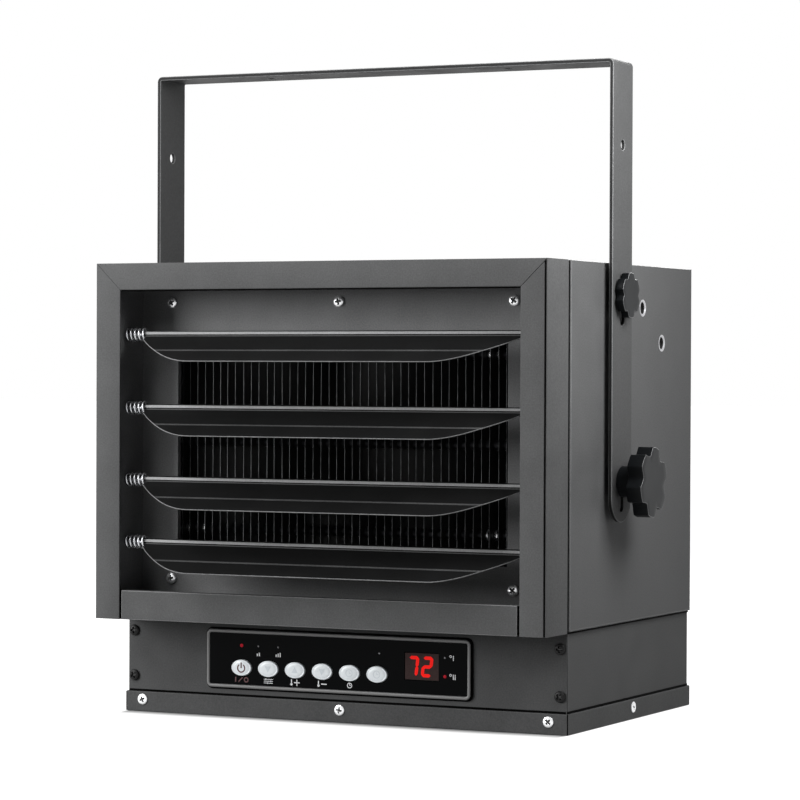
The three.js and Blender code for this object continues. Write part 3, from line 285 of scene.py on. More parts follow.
def rounded(bm, radius, segments=2, radius_at=None):
    """The solid with its sharp edges rounded: a bend by the whole radius in millimetres, a sheet's thin
    edge by a share of its thickness. The rounded faces take the second material. radius_at(edge) gives
    an edge's own radius, up to the whole one."""
    bmesh.ops.remove_doubles(bm, verts=bm.verts, dist=2e-6)
    bmesh.ops.dissolve_limit(
        bm, angle_limit=math.radians(0.8), verts=bm.verts, edges=bm.edges, delimit={"MATERIAL"}
    )
    bm.normal_update()
    weights = bm.edges.layers.float.new("bevel_weight_edge")
    width = radius * MM
    for edge in bm.edges:
        if len(edge.link_faces) == 2 and edge.calc_face_angle(0) > SHARP:
            room = min(room_across(f, edge) for f in edge.link_faces)
            own = radius_at(edge) if radius_at else radius
            edge[weights] = min(own * MM, ROOM_SHARE * room) / width
    mesh = mesh_of(bm)
    mesh.polygons.foreach_set("use_smooth", [True] * len(mesh.polygons))
    obj = bpy.data.objects.new("rounding", mesh)
    scene.collection.objects.link(obj)
    bevel = obj.modifiers.new("bevel", "BEVEL")
    bevel.limit_method = "WEIGHT"
    bevel.width = width
    bevel.segments = segments
    bevel.use_clamp_overlap = False
    bevel.material = 1
    obj.modifiers.new("normals", "WEIGHTED_NORMAL").keep_sharp = True
    for _ in range(4):
        mesh.materials.append(None)
    bpy.context.view_layer.update()
    made = bpy.data.meshes.new_from_object(obj.evaluated_get(bpy.context.evaluated_depsgraph_get()))
    bpy.data.objects.remove(obj)
    bpy.data.meshes.remove(mesh)
    kinds = [polygon.material_index for polygon in made.polygons]
    made.materials.clear()
    made.polygons.foreach_set("material_index", kinds)
    return made


def softened(node, name, radius, material, edge, slot=None, segments=2, radius_at=None):
    """Stands for a CAD node: the same solid with its edges rounded."""
    bm = bmesh.new()
    bm.from_mesh(nodes[node].data)
    for face in bm.faces:
        face.material_index = 0
    made = rounded(bm, radius, segments, radius_at)
    body = nodes[node]["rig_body"]
    return piece(name, made, body, material, edge, stands_for=[node], slot=slot)


def inside(point, loops):
    x, y = point
    odd = False
    for loop in loops:
        for (x0, y0), (x1, y1) in zip(loop, loop[1:] + loop[:1]):
            if (y0 > y) != (y1 > y) and x < (x1 - x0) * (y - y0) / (y1 - y0) + x0:
                odd = not odd
    return odd


def sheet(loops, thickness, place, cuts=(), rim_material=0, mark=None):
    """A flat sheet with holes: loops are its outline and its holes in (u, v). It is cut along the lines in
    cuts, so that place(u, v, depth) can bend it. mark(u, v) gives the material of its near side there."""
    verts, edges = [], []
    for loop in loops:
        first = len(verts)
        verts += [Vector(p) for p in loop]
        edges += [(first + i, first + (i + 1) % len(loop)) for i in range(len(loop))]
    for a, b in cuts:
        edges.append((len(verts), len(verts) + 1))
        verts += [Vector(a), Vector(b)]
    points, _, faces = delaunay_2d_cdt(verts, edges, [], 0, 1e-6)[:3]
    kept, kinds = [], []
    for face in faces:
        middle = sum((points[i] for i in face), Vector((0, 0))) / len(face)
        if inside(middle, loops):
            kept.append(face)
            kinds.append(mark(*middle) if mark else 0)
    bm = bmesh.new()
    used = sorted({i for face in kept for i in face})
    near, far = (
        {i: bm.verts.new(Vector(place(*points[i], depth)) * MM) for i in used} for depth in (0, thickness)
    )
    rim = {}
    for face, kind in zip(kept, kinds):
        bm.faces.new([near[i] for i in face]).material_index = kind
        bm.faces.new([far[i] for i in reversed(face)])
        for a, b in zip(face, face[1:] + face[:1]):
            rim[(a, b)] = rim.get((a, b), 0) + 1
    for a, b in rim:
        if (b, a) not in rim:
            bm.faces.new([near[b], near[a], far[a], far[b]]).material_index = rim_material
    bmesh.ops.recalc_face_normals(bm, faces=bm.faces)
    return bm


def lofted(rings, wrap=False):
    """A skin over rings of points with equal counts, in millimetres: closed at its ends, or all round."""
    bm = bmesh.new()
    made = [[bm.verts.new(Vector(p) * MM) for p in ring] for ring in rings]
    for a, b in zip(made, made[1:] + made[:1] if wrap else made[1:]):
        n = len(a)
        for i in range(n):
            j = (i + 1) % n
            bm.faces.new([a[i], a[j], b[j], b[i]])
    if not wrap:
        bm.faces.new(list(reversed(made[0])))
        bm.faces.new(made[-1])
    bmesh.ops.recalc_face_normals(bm, faces=bm.faces)
    return bm


def joined(*parts):
    """Several meshes in one."""
    bm = bmesh.new()
    for part in parts:
        mesh = mesh_of(part) if isinstance(part, bmesh.types.BMesh) else part
        bm.from_mesh(mesh)
        bpy.data.meshes.remove(mesh)
    return bm


def oval(x, z, a, b, steps=48):
    turns = [2 * math.pi * i / steps for i in range(steps)]
    return [(x + a * math.cos(turn), z + b * math.sin(turn)) for turn in turns]


def circle(x, z, r, steps):
    return oval(x, z, r, r, steps)


def rounded_rect(x0, x1, z0, z1, r, steps=8):
    corners = [(x1 - r, z1 - r, 0), (x0 + r, z1 - r, 1), (x0 + r, z0 + r, 2), (x1 - r, z0 + r, 3)]
    points = []
    for cx, cz, quarter in corners:
        for i in range(steps + 1):
            a = (quarter + i / steps) * math.pi / 2
            points.append((cx + r * math.cos(a), cz + r * math.sin(a)))
    return points


def turned(profile, axis, at, steps):
    """A solid of revolution: profile is (radius, place along the axis), at is the middle of the axis in
    the other two directions."""
    rings = []
    for r, s in profile:
        ring = []
        for u, v in circle(at[0], at[1], max(r, 0.001), steps):
            ring.append({"x": (s, u, v), "y": (u, s, v), "z": (u, v, s)}[axis])
        rings.append(ring)
    return lofted(rings)


def tube(path, radius, sides=12, closed=False):
    """A round wire along points."""
    path = [Vector(p) for p in path]
    count = len(path)
    rings = []
    across = None
    for i, p in enumerate(path):
        before = path[(i - 1) % count] if closed or i else p
        after = path[(i + 1) % count] if closed or i < count - 1 else p
        along = (after - before).normalized()
        if across is None:
            across = along.orthogonal().normalized()
        across = (across - along * across.dot(along)).normalized()
        up = along.cross(across)
        ring = []
        for k in range(sides):
            a = 2 * math.pi * k / sides
            ring.append(p + (across * math.cos(a) + up * math.sin(a)) * radius)
        rings.append(ring)
    return lofted(rings, wrap=closed)


def rect(x, z):
    return [(x[0], z[0]), (x[1], z[0]), (x[1], z[1]), (x[0], z[1])]


def block(x, y, z):
    """A box from its ranges."""
    return sheet([rect(x, z)], y[1] - y[0], lambda u, v, d: (u, y[0] + d, v))


# ---- ceiling bracket ----
STRAP_HALF = 192.5
STRAP_T = 3
STRAP_W = 38
BEND_R = 4
LEG = 340
SLOT_TOPS = (-309.7, -172.7)
SLOT_LENGTH = 18.1
SLOT_R = 4.5
SPARE_HOLE_Z = -62.5
SPARE_HOLE_R = 3.8
CEILING_HOLE_X = 100
CEILING_HOLE_R = 4
FLAT = STRAP_HALF - BEND_R
BEND = BEND_R * math.pi / 2


def on_strap(s, w, depth):
    """s along the strap from its middle, w across it."""
    side = math.copysign(1, s)
    a = abs(s)
    if a <= FLAT:
        return (s, w, -depth)
    if a <= FLAT + BEND:
        turn = (a - FLAT) / BEND_R
        r = BEND_R - depth
        return (side * (FLAT + r * math.sin(turn)), w, r * math.cos(turn) - BEND_R)
    return (side * (STRAP_HALF - depth), w, -BEND_R - (a - FLAT - BEND))


def along_strap(z):
    return FLAT + BEND - BEND_R - z


def bracket():
    end = along_strap(-LEG)
    half = STRAP_W / 2
    turns = [i * math.pi / 24 for i in range(25)]
    outline = [(end - half + half * math.sin(a), -half * math.cos(a)) for a in turns]
    outline += [(-(end - half) - half * math.sin(a), half * math.cos(a)) for a in turns]
    loops = [outline]
    turns = [i * math.pi / 12 for i in range(13)]
    for side in (-1, 1):
        for top in SLOT_TOPS:
            upper, lower = along_strap(top), along_strap(top - SLOT_LENGTH)
            loop = [(upper - SLOT_R * math.sin(a), SLOT_R * math.cos(a)) for a in turns]
            loop += [(lower + SLOT_R * math.sin(a), -SLOT_R * math.cos(a)) for a in turns]
            loops.append([(side * s, w) for s, w in loop])
        loops.append(circle(side * along_strap(SPARE_HOLE_Z), 0, SPARE_HOLE_R, 24))
        loops.append(circle(side * CEILING_HOLE_X, 0, CEILING_HOLE_R, 24))
    cuts = []
    for side in (-1, 1):
        for i in range(9):
            s = side * (FLAT + BEND * i / 8)
            cuts.append(((s, -half - 1), (s, half + 1)))
    # The strap's rims take the dark grey of painted shade, its rounded edges the light grey of painted
    # highlight.
    return rounded(sheet(loops, STRAP_T, on_strap, cuts, rim_material=2), 0.55)


piece(
    "ceiling_strap", bracket(), "bracket", STRAP_COAT, STRAP_EDGE_HIGHLIGHT, STRAP_RIM_SHADE,
    stands_for=["mounting_bracket"], slot="powder_coat",
)

# ---- knobs, studs, washers, inserts ----
PIVOT_Z = -310
LOCK_Z = -173
SEAT = STRAP_HALF + 0.3
THREAD_PITCH = 1.25


def lobed(style, swell, steps=180):
    """The outline of a six-lobed head, smaller by swell."""
    points = []
    for i in range(steps):
        a = 2 * math.pi * i / steps
        off = abs((math.degrees(a) - style["turn"] + 30) % 60 - 30)
        dip = min(1, max(0, (30 - off) / (30 - style["flat"])))
        r = style["valley"] + (style["lobe"] - style["valley"]) * dip**1.6 - swell
        points.append((r * math.cos(a), r * math.sin(a)))
    return points


TILT_STYLE = {"lobe": 25.8, "valley": 20.3, "turn": 20, "flat": 13, "hub": 11.5, "hub_l": 13.2, "head": 12}
LOCK_STYLE = {"lobe": 16.6, "valley": 13.8, "turn": 30, "flat": 16, "hub": 10, "hub_l": 1, "head": 6}


def knob(style, side, height, name, body):
    """A knob: a hub off the strap, then a lobed head with soft edges."""
    start = style["hub_l"]
    end = start + style["head"]
    soft = 0.5
    rings = []
    quarter = [k / 4 * math.pi / 2 for k in range(5)]

    def ring(swell, x):
        rings.append([(side * (SEAT + x), side * v, height + w) for v, w in lobed(style, swell)])

    for a in quarter:
        ring(soft * (1 - math.sin(a)), start + soft * (1 - math.cos(a)))
    for a in quarter:
        ring(soft * (1 - math.cos(a)), end - soft * (1 - math.sin(a)))
    ring(style["valley"] * 0.3, end)
    head = lofted(rings)
    hub_end = start + 0.6
    wide = style["hub"]
    reaches = [(wide - 0.5, 0), (wide, 0.5), (wide - 0.4, hub_end - 0.2), (wide * 0.5, hub_end)]
    hub = turned([(r, side * (SEAT + reach)) for r, reach in reaches], "x", (0, height), 48)
    mesh = smooth(joined(head, hub), 28)
    # The ring round the end face takes the lighter grey: a painted highlight.
    for polygon in mesh.polygons:
        reach = abs(polygon.center.x) / MM - SEAT
        if end - soft + 0.1 < reach < end - 0.01:
            polygon.material_index = 1
    piece(name, mesh, body, KNOB, KNOB_HIGHLIGHT, stands_for=[body], slot="black_plastic")


def stud(side, height, length, name, body):
    """A threaded stud."""
    profile = [(0.5, side * (SEAT + 0.4)), (3.3, side * (SEAT + 0.4))]
    count = int(length / THREAD_PITCH * 2)
    for i in range(count):
        profile.append((3.95 if i % 2 else 3.3, side * (SEAT - (i + 0.5) * length / count)))
    profile += [(3.2, side * (SEAT - length)), (0.5, side * (SEAT - length))]
    mesh = smooth(turned(profile, "x", (0, height), 24), 30)
    piece(name, mesh, body, ZINC)


def washer(side, height, name, node):
    near, far = 186.15, 189.2
    profile = [(4.4, near), (11.7, near), (12, near + 0.3), (12, far - 0.3), (11.7, far), (4.4, far)]
    rings = [[(side * x, v, w) for v, w in circle(0, height, r, 48)] for r, x in profile]
    mesh = smooth(lofted(rings, wrap=True), 30)
    piece(name, mesh, "carriage", KNOB, stands_for=[node], slot="black_plastic")


def insert(side, y, z, name, node):
    """A threaded insert: a rolled flange on the cabinet's side and a threaded bore."""
    face = 185.6
    profile = [(4.25, face - 9), (5.2, face - 9), (5.2, face - 1.3), (5.2, face + 0.02)]
    profile += [(6.3, face + 0.02), (6.45, face + 0.1), (6.2, face + 0.24), (5.3, face + 0.25), (5.0, face)]
    for i in range(8):
        profile.append((4.2 if i % 2 else 4.5, face - 0.4 - i * 1.05))
    rings = [[(side * x, v, w) for v, w in circle(y, z, r, 40)] for r, x in profile]
    mesh = smooth(lofted(rings, wrap=True), 30)
    # The threaded bore takes the darker material: painted shade in the bore.
    for polygon in mesh.polygons:
        if abs(polygon.center.x) / MM < face - 0.35:
            polygon.material_index = 1
    piece(name, mesh, "cabinet", INSERT_ZINC, DARK_BORE, stands_for=[node], slot="zinc")


for side_name, side in (("left", -1), ("right", 1)):
    knob(TILT_STYLE, side, PIVOT_Z, f"star_knob_tilt_{side_name}", f"tilt_knob_{side_name}")
    knob(LOCK_STYLE, side, LOCK_Z, f"star_knob_lock_{side_name}", f"lock_knob_{side_name}")
    stud(side, PIVOT_Z, 14.3, f"stud_tilt_{side_name}", f"tilt_knob_{side_name}")
    stud(side, LOCK_Z, 6.3, f"stud_lock_{side_name}", f"lock_knob_{side_name}")
    washer(side, PIVOT_Z, f"spacer_tilt_{side_name}", f"pivot_washer_{side_name}")
    washer(side, LOCK_Z, f"spacer_lock_{side_name}", f"lock_washer_{side_name}")
    for i, (y, z) in enumerate(((57.35, -181.19), (96.52, -207.22))):
        insert(side, y, z, f"insert_{side_name}_{i + 1}", f"tilt_insert_{side_name}_{i + 1}")

# ---- cabinet and louvre frame ----


def cabinet_radius(edge):
    """The bend of the shell's edge there: tight at its front flange, wide at its foot."""
    middle = (edge.verts[0].co + edge.verts[1].co) / 2 / MM
    if middle.y < -79:
        return 1.0
    return 1.8 if middle.z < -415 else 1.3


softened("cabinet_shell", "cabinet", 1.8, *SIDE_FINISH, 3, cabinet_radius)

FRAME_HALF = 185
FRAME_TOP = -149.2
FRAME_BOTTOM = -416.5
FACE_SIDE = 20.7
FACE_TOP = 20
FRONT = -121
FRAME_DEPTH = 38.4


def arc(cx, cy, r, start, end, steps=4):
    points = []
    for i in range(steps + 1):
        a = math.radians(start + (end - start) * i / steps)
        points.append((cx + r * math.cos(a), cy + r * math.sin(a)))
    return points


def member_section(width, jointed):
    """A frame member cut across, as (inwards from its outer side, depth): the side wall and the face with
    its folded edge. A jointed one has a narrow line between them."""
    t = SHEET
    section = arc(0.35, 0.35, 0.35, 270, 180) + [(0, FRAME_DEPTH - 0.3)]
    section += [(0.3, FRAME_DEPTH), (t - 0.3, FRAME_DEPTH), (t, FRAME_DEPTH - 0.3)]
    section += [(t, 4.2), (3.0, 4.2), (3.0, t)] if jointed else [(t, t)]
    section += [(width - 0.6, t)] + arc(width - 0.6, 0.6, 0.6, 90, -90, 6)
    if jointed:
        section += [(2.4, 0), (2.2, 0.2), (2.2, 3.2), (0.7, 3.2), (0.7, 0.2), (0.55, 0)]
    return section


def frame_member(kind):
    """One side of the frame, its ends cut on the mitres and set back from them by the joint."""
    width = FACE_TOP if kind == "top" else FACE_SIDE
    section = member_section(width, kind == "right")
    rings = []
    for end in ("left", "right") if kind == "top" else ("bottom", "top"):
        side = end if kind == "top" else kind
        sign, joint = {"left": (-1, 0.16), "right": (1, 0.3)}[side]
        ring = []
        for u, y in section:
            if kind == "top":
                x, z = FRAME_HALF - u * FACE_SIDE / FACE_TOP - joint, FRAME_TOP - u
            else:
                x, z = FRAME_HALF - u, FRAME_TOP - u * FACE_TOP / FACE_SIDE - joint
                z = FRAME_BOTTOM if end == "bottom" else z
            ring.append((sign * x, FRONT + y, z))
        rings.append(ring)
    return smooth(lofted(rings), 30)


for kind in ("left", "top", "right"):
    piece(
        f"frame_{kind}", frame_member(kind), "cabinet", FRAME_COAT,
        stands_for=["louver_frame"], slot="powder_coat",
    )
softened("frame_bottom_bar", "frame_bar", 0.5, FRAME_COAT, FRAME_EDGE_HIGHLIGHT, "powder_coat")


def frame_gap_painted_shade():
    """A black strip in the gap between the frame and the cabinet: painted shade in the gap."""
    section = [(0, -83.2), (0, -79.3), (2.4, -79.3), (2.4, -83.2)]
    rings = []
    for sign, end in ((-1, FRAME_BOTTOM + 1), (-1, None), (1, None), (1, FRAME_BOTTOM + 1)):
        ring = []
        for u, y in section:
            z = FRAME_TOP - 0.4 - u if end is None else end
            ring.append((sign * (FRAME_HALF - 0.4 - u), y, z))
        rings.append(ring)
    piece("frame_gap_painted_shade", mesh_of(lofted(rings)), "cabinet", BLACK_AND_SHADE)


frame_gap_painted_shade()
# Black lines: the top one is painted shade under the frame's top edge, the corner one fills the joint of the
# right member.
corner_line = block(
    (FRAME_HALF - 2.15, FRAME_HALF - 0.75), (FRONT + 0.7, FRONT + 3.1), (FRAME_BOTTOM + 0.3, FRAME_TOP - 2.5)
)
top_shade_line = block((-163.8, 163.8), (FRONT + 1.3, FRONT + 2.3), (-170.3, -168))
piece("frame_lines", mesh_of(joined(corner_line, top_shade_line)), "cabinet", BLACK_AND_SHADE)
tabs = [
    block((side * 163.4 - 2, side * 163.4 + 2), (FRONT + 1.6, FRONT + 2.6), (FRAME_BOTTOM + 0.1, -395))
    for side in (-1, 1)
]
piece("frame_tabs", mesh_of(joined(*tabs)), "cabinet", BLACK_AND_SHADE)
softened("baffle_plate", "tray", 0.6, TRAY_COAT, TRAY_EDGE_SHADE, "black_coat")
OUTLET_HALF = 137.6
# Lighter strips on the outlet's edges: painted highlight.
lips = [
    block(sorted((side * OUTLET_HALF, side * (OUTLET_HALF - 0.5))), (-81, -76.5), (-370, -204))
    for side in (-1, 1)
]
piece("outlet_lips", mesh_of(joined(*lips)), "cabinet", LIP_HIGHLIGHT)


# ---- screws ----
RECESS_STEPS = 72
RECESS_LEVELS = 16


def screw_head(at, z, r, height, turn, towards):
    """A domed head with a cross recess. at is its place in (x, y), and towards is where it points."""
    rings, deeps = [], []
    for k in range(RECESS_LEVELS + 1):
        share = 1 - k / RECESS_LEVELS
        dome = height * (0.42 + 0.58 * math.sqrt(max(0, 1 - share**2)))
        ring, deep_ring = [], []
        for u, v in circle(0, 0, r * share, RECESS_STEPS):
            cu = abs(u * math.cos(turn) + v * math.sin(turn))
            cv = abs(v * math.cos(turn) - u * math.sin(turn))
            deep = 0
            for p, q in ((cu, cv), (cv, cu)):
                width = max(0, min(1, (0.19 * r - p) / (0.07 * r)))
                length = max(0, min(1, (0.62 * r - q) / (0.12 * r)))
                deep = max(deep, width * length)
            deep_ring.append(deep)
            ring.append((u, v, dome - deep * height * 0.62))
        rings.append(ring)
        deeps.append(deep_ring)
    skirt = [(u, v, 0.0) for u, v, _ in rings[0]]
    (x, y), (tx, ty) = at, towards
    placed = []
    for ring in [skirt] + rings:
        placed.append([(x - ty * u + tx * h, y + tx * u + ty * h, z + v) for u, v, h in ring])
    bm = lofted(placed)
    # The faces deep in the cross recess take the second material, for zinc heads a darker one: painted
    # shade.
    bm.faces.ensure_lookup_table()
    for k in range(RECESS_LEVELS):
        for i in range(RECESS_STEPS):
            if min(deeps[k][i], deeps[k + 1][i]) > 0.5:
                bm.faces[(k + 1) * RECESS_STEPS + i].material_index = 1
    return bm


def screw(name, at, z, r, height, turn, material, towards=(0, -1), stands_for=(), slot=None):
    mesh = smooth(screw_head(at, z, r, height, turn, towards), 32)
    piece(name, mesh, "cabinet", material, DARK_BORE, stands_for=stands_for, slot=slot)


random.seed(7)
for kind, count, face, height, material, slot in (
    ("baffle", 5, -81.2, 2.5, ZINC, "zinc"), ("panel", 4, -76.8, 2.3, BLACK_SCREW, "black_coat"),
):
    shown = {"baffle": "tray", "panel": "box"}[kind]
    for i in range(count):
        node = f"{kind}_screw_{i + 1}"
        lo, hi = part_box(node)
        middle = (lo + hi) / 2 / MM
        turn = random.uniform(0, math.pi / 2)
        screw(f"{shown}_screw_{i + 1}", (middle.x, face), middle.z, 4.2, height, turn, material,
              stands_for=[node], slot=slot)
PAN_SCREW = {"z": -480.7, "r": 4.1, "height": 1.4, "material": ZINC}
for i, x in enumerate((-169, 0, 168.5)):
    screw(f"pan_screw_front_{i + 1}", (x, -78.2), turn=0.4 + i, **PAN_SCREW)
    screw(f"pan_screw_back_{i + 1}", (x, 164.9), turn=0.7 + i, towards=(0, 1), **PAN_SCREW)
for side, side_name, screws in ((-1, "left", (0, 1, 2)), (1, "right", (1,))):
    for i in screws:
        at = (side * 183.7, (-30, 46, 122)[i])
        screw(f"pan_screw_side_{i + 1}_{side_name}", at, turn=0.2 + i, towards=(side, 0), **PAN_SCREW)

# ---- louvres and springs ----
PIVOT_Y = -105.6
LOUVER_Z = [-202.7, -257.7, -311.8, -358.8]
BLADE_X = (-151.8, 161.8)
CREASE = 27.6
BLADE_W = 44.2
ROLL_R = 2.9
COIL_END = -149.2
DROPS = (math.radians(25.1), math.radians(28.4))


def blade_place(height):
    """A blade's bend: it drops by the first angle to its crease, and by the second past it."""
    first, second = DROPS

    def place(x, v, depth):
        s = max(v, 0)
        a, b = min(s, CREASE), max(s - CREASE, 0)
        y = -a * math.cos(first) - b * math.cos(second)
        z = -a * math.sin(first) - b * math.sin(second)
        slope = first if s <= CREASE else second
        return (x, PIVOT_Y + y + depth * math.sin(slope), height + z - depth * math.cos(slope))

    return place


def rolled_edge(height):
    """The rolled hem, with the seam where the sheet closes on itself."""
    x0, x1 = BLADE_X
    ends = [(x0, 2.4), (x0 + 0.2, 2.75), (x0 + 0.7, ROLL_R)]
    ends += [(x1 - 0.7, ROLL_R), (x1 - 0.2, 2.75), (x1, 2.4)]
    rings = []
    for x, radius in ends:
        ring = []
        for up in range(0, 360, 5):
            r = radius - 0.4 if up in (0, 355) else radius
            a = math.radians(up)
            ring.append((x, PIVOT_Y - r * math.cos(a), height + r * math.sin(a)))
        rings.append(ring)
    mesh = smooth(lofted(rings), 30)
    # Bands by angle round the hem: from 5 to 48 degrees above the front a painted highlight, from 10 to 30
    # below it a painted sheen, the rest the dark coat, which paints the shade along the top.
    for polygon in mesh.polygons:
        middle = polygon.center / MM
        up = math.degrees(math.atan2(middle.z - height, PIVOT_Y - middle.y))
        if 5 < up < 48:
            polygon.material_index = 1
        elif -30 < up < -10:
            polygon.material_index = 2
    return mesh


def louver(index):
    height = LOUVER_Z[index]
    first, second = (math.cos(drop) for drop in DROPS)
    bend = CREASE * first
    reach = bend + (BLADE_W - CREASE) * second

    def along(y):
        """Down the blade to a given reach forwards."""
        return y / first if y <= bend else CREASE + (y - bend) / second

    ends = []
    for i in range(33):
        t = i / 32
        x = 2 * t * (1 - t) * 33.8 + t * t * 59.8
        y = (1 - t) ** 2 * 4.5 + 2 * t * (1 - t) * reach + t * t * reach
        ends.append((x, along(min(y, reach))))
    left = [(BLADE_X[0] + x, v) for x, v in ends]
    right = [(BLADE_X[1] - x, v) for x, v in reversed(ends)]
    notch = [(COIL_END + 0.3, 0), (COIL_END + 0.3, 5.9)]
    outline = notch + [p for p in left if p[1] > 5.9] + right + [(BLADE_X[1], 0)]
    cuts = [((BLADE_X[0] - 1, v), (BLADE_X[1] + 1, v)) for v in (CREASE - 1.1, CREASE, CREASE + 1.1)]

    # A strip 2.2 mm wide along the crease takes the crease grey: a painted highlight on the bend.
    def mark(u, v):
        return 2 if abs(v - CREASE) < 1.1 else 0

    # Its rims and rounded edges take the light grey of painted highlight.
    bent = sheet([outline], 0.8, blade_place(height), cuts, rim_material=1, mark=mark)
    name = f"louver_{index + 1}"
    piece(
        f"blade_{index + 1}", rounded(bent, 0.25), name, BLADE_COAT, BLADE_EDGE_HIGHLIGHT, CREASE_HIGHLIGHT,
        stands_for=[name], slot="black_coat",
    )
    end = 170.5
    profile = [(0.5, -end), (1.5, -end), (1.8, 0.3 - end), (1.8, end - 0.3), (1.5, end), (0.5, end)]
    rod = turned(profile, "x", (PIVOT_Y, height), 20)
    piece(f"roll_{index + 1}", rolled_edge(height), name, ROLL_DARK_AND_SHADE, ROLL_HIGHLIGHT, ROLL_LOW_SHEEN, stands_for=[name])
    piece(f"pivot_rod_{index + 1}", smooth(rod), name, BARE_STEEL, stands_for=[name])


def spring(index):
    height = LOUVER_Z[index]
    start, end = -167.7, COIL_END
    turns, steps = 4.75, 28
    wire, coil_r = 0.8, 4.4
    path = []
    total = int(turns * steps)
    for i in range(total + 1):
        a = 2 * math.pi * i / steps
        x = start + wire + (end - start - 2 * wire) * i / total
        path.append((x, PIVOT_Y + coil_r * math.cos(a), height + coil_r * math.sin(a)))
    mesh = smooth(tube(path, wire), 60)
    node = f"louver_spring_{index + 1}"
    piece(f"coil_{index + 1}", mesh, "cabinet", CHROME_WIRE, stands_for=[node], slot="zinc")


for i in range(4):
    louver(i)
    spring(i)

# ---- heating element ----
FIN_PITCH = 6.6
FIN_T = 0.24
FIN_COUNT = 44
FIRST_FIN_X = -146.6
lo, hi = (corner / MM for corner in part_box("heating_element"))
FIN_Z = (lo.z + 0.2, hi.z - 0.2)
FIN_Y = (lo.y + 0.3, hi.y - 0.3)


def fin(x):
    """One fin, a little out of true."""
    lean = random.uniform(-0.6, 0.6)
    bow = random.uniform(-0.4, 0.4)

    def place(u, v, depth):
        t = (v - FIN_Z[0]) / (FIN_Z[1] - FIN_Z[0])
        return (x + lean * (t - 0.5) + bow * 4 * t * (1 - t) + depth - FIN_T / 2, u, v)

    heights = [FIN_Z[0] + (FIN_Z[1] - FIN_Z[0]) * k / 6 for k in range(1, 6)]
    cuts = [((FIN_Y[0] - 1, z), (FIN_Y[1] + 1, z)) for z in heights]
    # Its rims take the lighter grey: painted highlight.
    return sheet([rect(FIN_Y, FIN_Z)], FIN_T, place, cuts, rim_material=1)


random.seed(11)
fins = [fin(FIRST_FIN_X + FIN_PITCH * i + random.uniform(-0.25, 0.25)) for i in range(FIN_COUNT)]
piece(
    "element_fins", mesh_of(joined(*fins)), "cabinet", FIN_STEEL, FIN_EDGE_HIGHLIGHT,
    stands_for=["heating_element"], slot="fin_steel",
)
TUBE_Z = (-216.5, -283, -349)
TUBE_Y = (lo.y + hi.y) / 2 - 4
COLLARS = [(TUBE_Z[0], x) for x in (111.6, 119.4)]
COLLARS += [(TUBE_Z[2], x) for x in (-140.2, -127.2, 109.6, 117.4)]
profile = [(0.5, lo.x), (3.7, lo.x), (4, lo.x + 0.4), (4, hi.x - 0.4), (3.7, hi.x), (0.5, hi.x)]
tubes = [turned(profile, "x", (TUBE_Y, z), 24) for z in TUBE_Z]
tube_mesh = smooth(joined(*tubes))
piece("element_tubes", tube_mesh, "cabinet", TUBE_STEEL, stands_for=["heating_element"])
ferrules = []
for z, x in COLLARS:
    profile = [(0.5, x), (4.02, x), (4.2, x + 0.6), (4.2, x + 1.8), (4.02, x + 2.4), (0.5, x + 2.4)]
    ferrules.append(turned(profile, "x", (TUBE_Y, z), 24))
ferrule_mesh = smooth(joined(*ferrules))
piece("element_ferrules", ferrule_mesh, "cabinet", ZINC, stands_for=["heating_element"])

# ---- control box, panel and pan ----
softened("control_box", "box_body", 1.4, *BOX_FINISH, segments=3)
softened("control_panel", "box_front", 0.5, *BOX_FINISH)
softened("base_pan", "pan", 0.9, *BOX_FINISH, segments=3)


def band(name, z, proud):
    """A black strip round the control box, and how far it stands out of it: painted shade along the joints
    under the cabinet and above the pan.
    """
    (x0, x1), (y0, y1) = (-182.2, 182.2), (-76.7, 163.4)
    rings = []
    for grow, height in ((-0.3, z[0]), (proud, z[0]), (proud, z[1]), (-0.3, z[1])):
        loop = rounded_rect(x0 - grow, x1 + grow, y0 - grow, y1 + grow, 1.2 + grow, 4)
        rings.append([(u, v, height) for u, v in loop])
    piece(name, smooth(lofted(rings, wrap=True), 30), "cabinet", BLACK_AND_SHADE)


band("pan_joint_painted_shade", (-475.4, -473.0), 0.2)
band("cabinet_overhang_painted_shade", (-417.3, -415.0), 0.5)
PAN_SEAM = (183.35, -77.9)
corners = []
for side in (-1, 1):
    x, y = side * PAN_SEAM[0], PAN_SEAM[1]
    corners.append(block((x - 0.35, x + 0.35), (y - 0.35, y + 0.35), (-489.6, -474.9)))
piece("pan_corner_seams", mesh_of(joined(*corners)), "cabinet", BLACK_AND_SHADE)

BEZEL_X = (-112.3, 107.3)
BEZEL_Z = (-468.2, -424.3)
BEZEL_Y = -79.7
GLASS_FACE = BEZEL_Y + 0.8
BUTTON_FACE = GLASS_FACE - 1.1
BUTTON_X = [-82.3 + 22.75 * i for i in range(6)]
BUTTON_Z = -452.7
DISPLAY = (67.8, -445.4)


def bezel_loop(inset, r):
    (x0, x1), (z0, z1) = BEZEL_X, BEZEL_Z
    return rounded_rect(x0 + inset, x1 - inset, z0 + inset, z1 - inset, r)


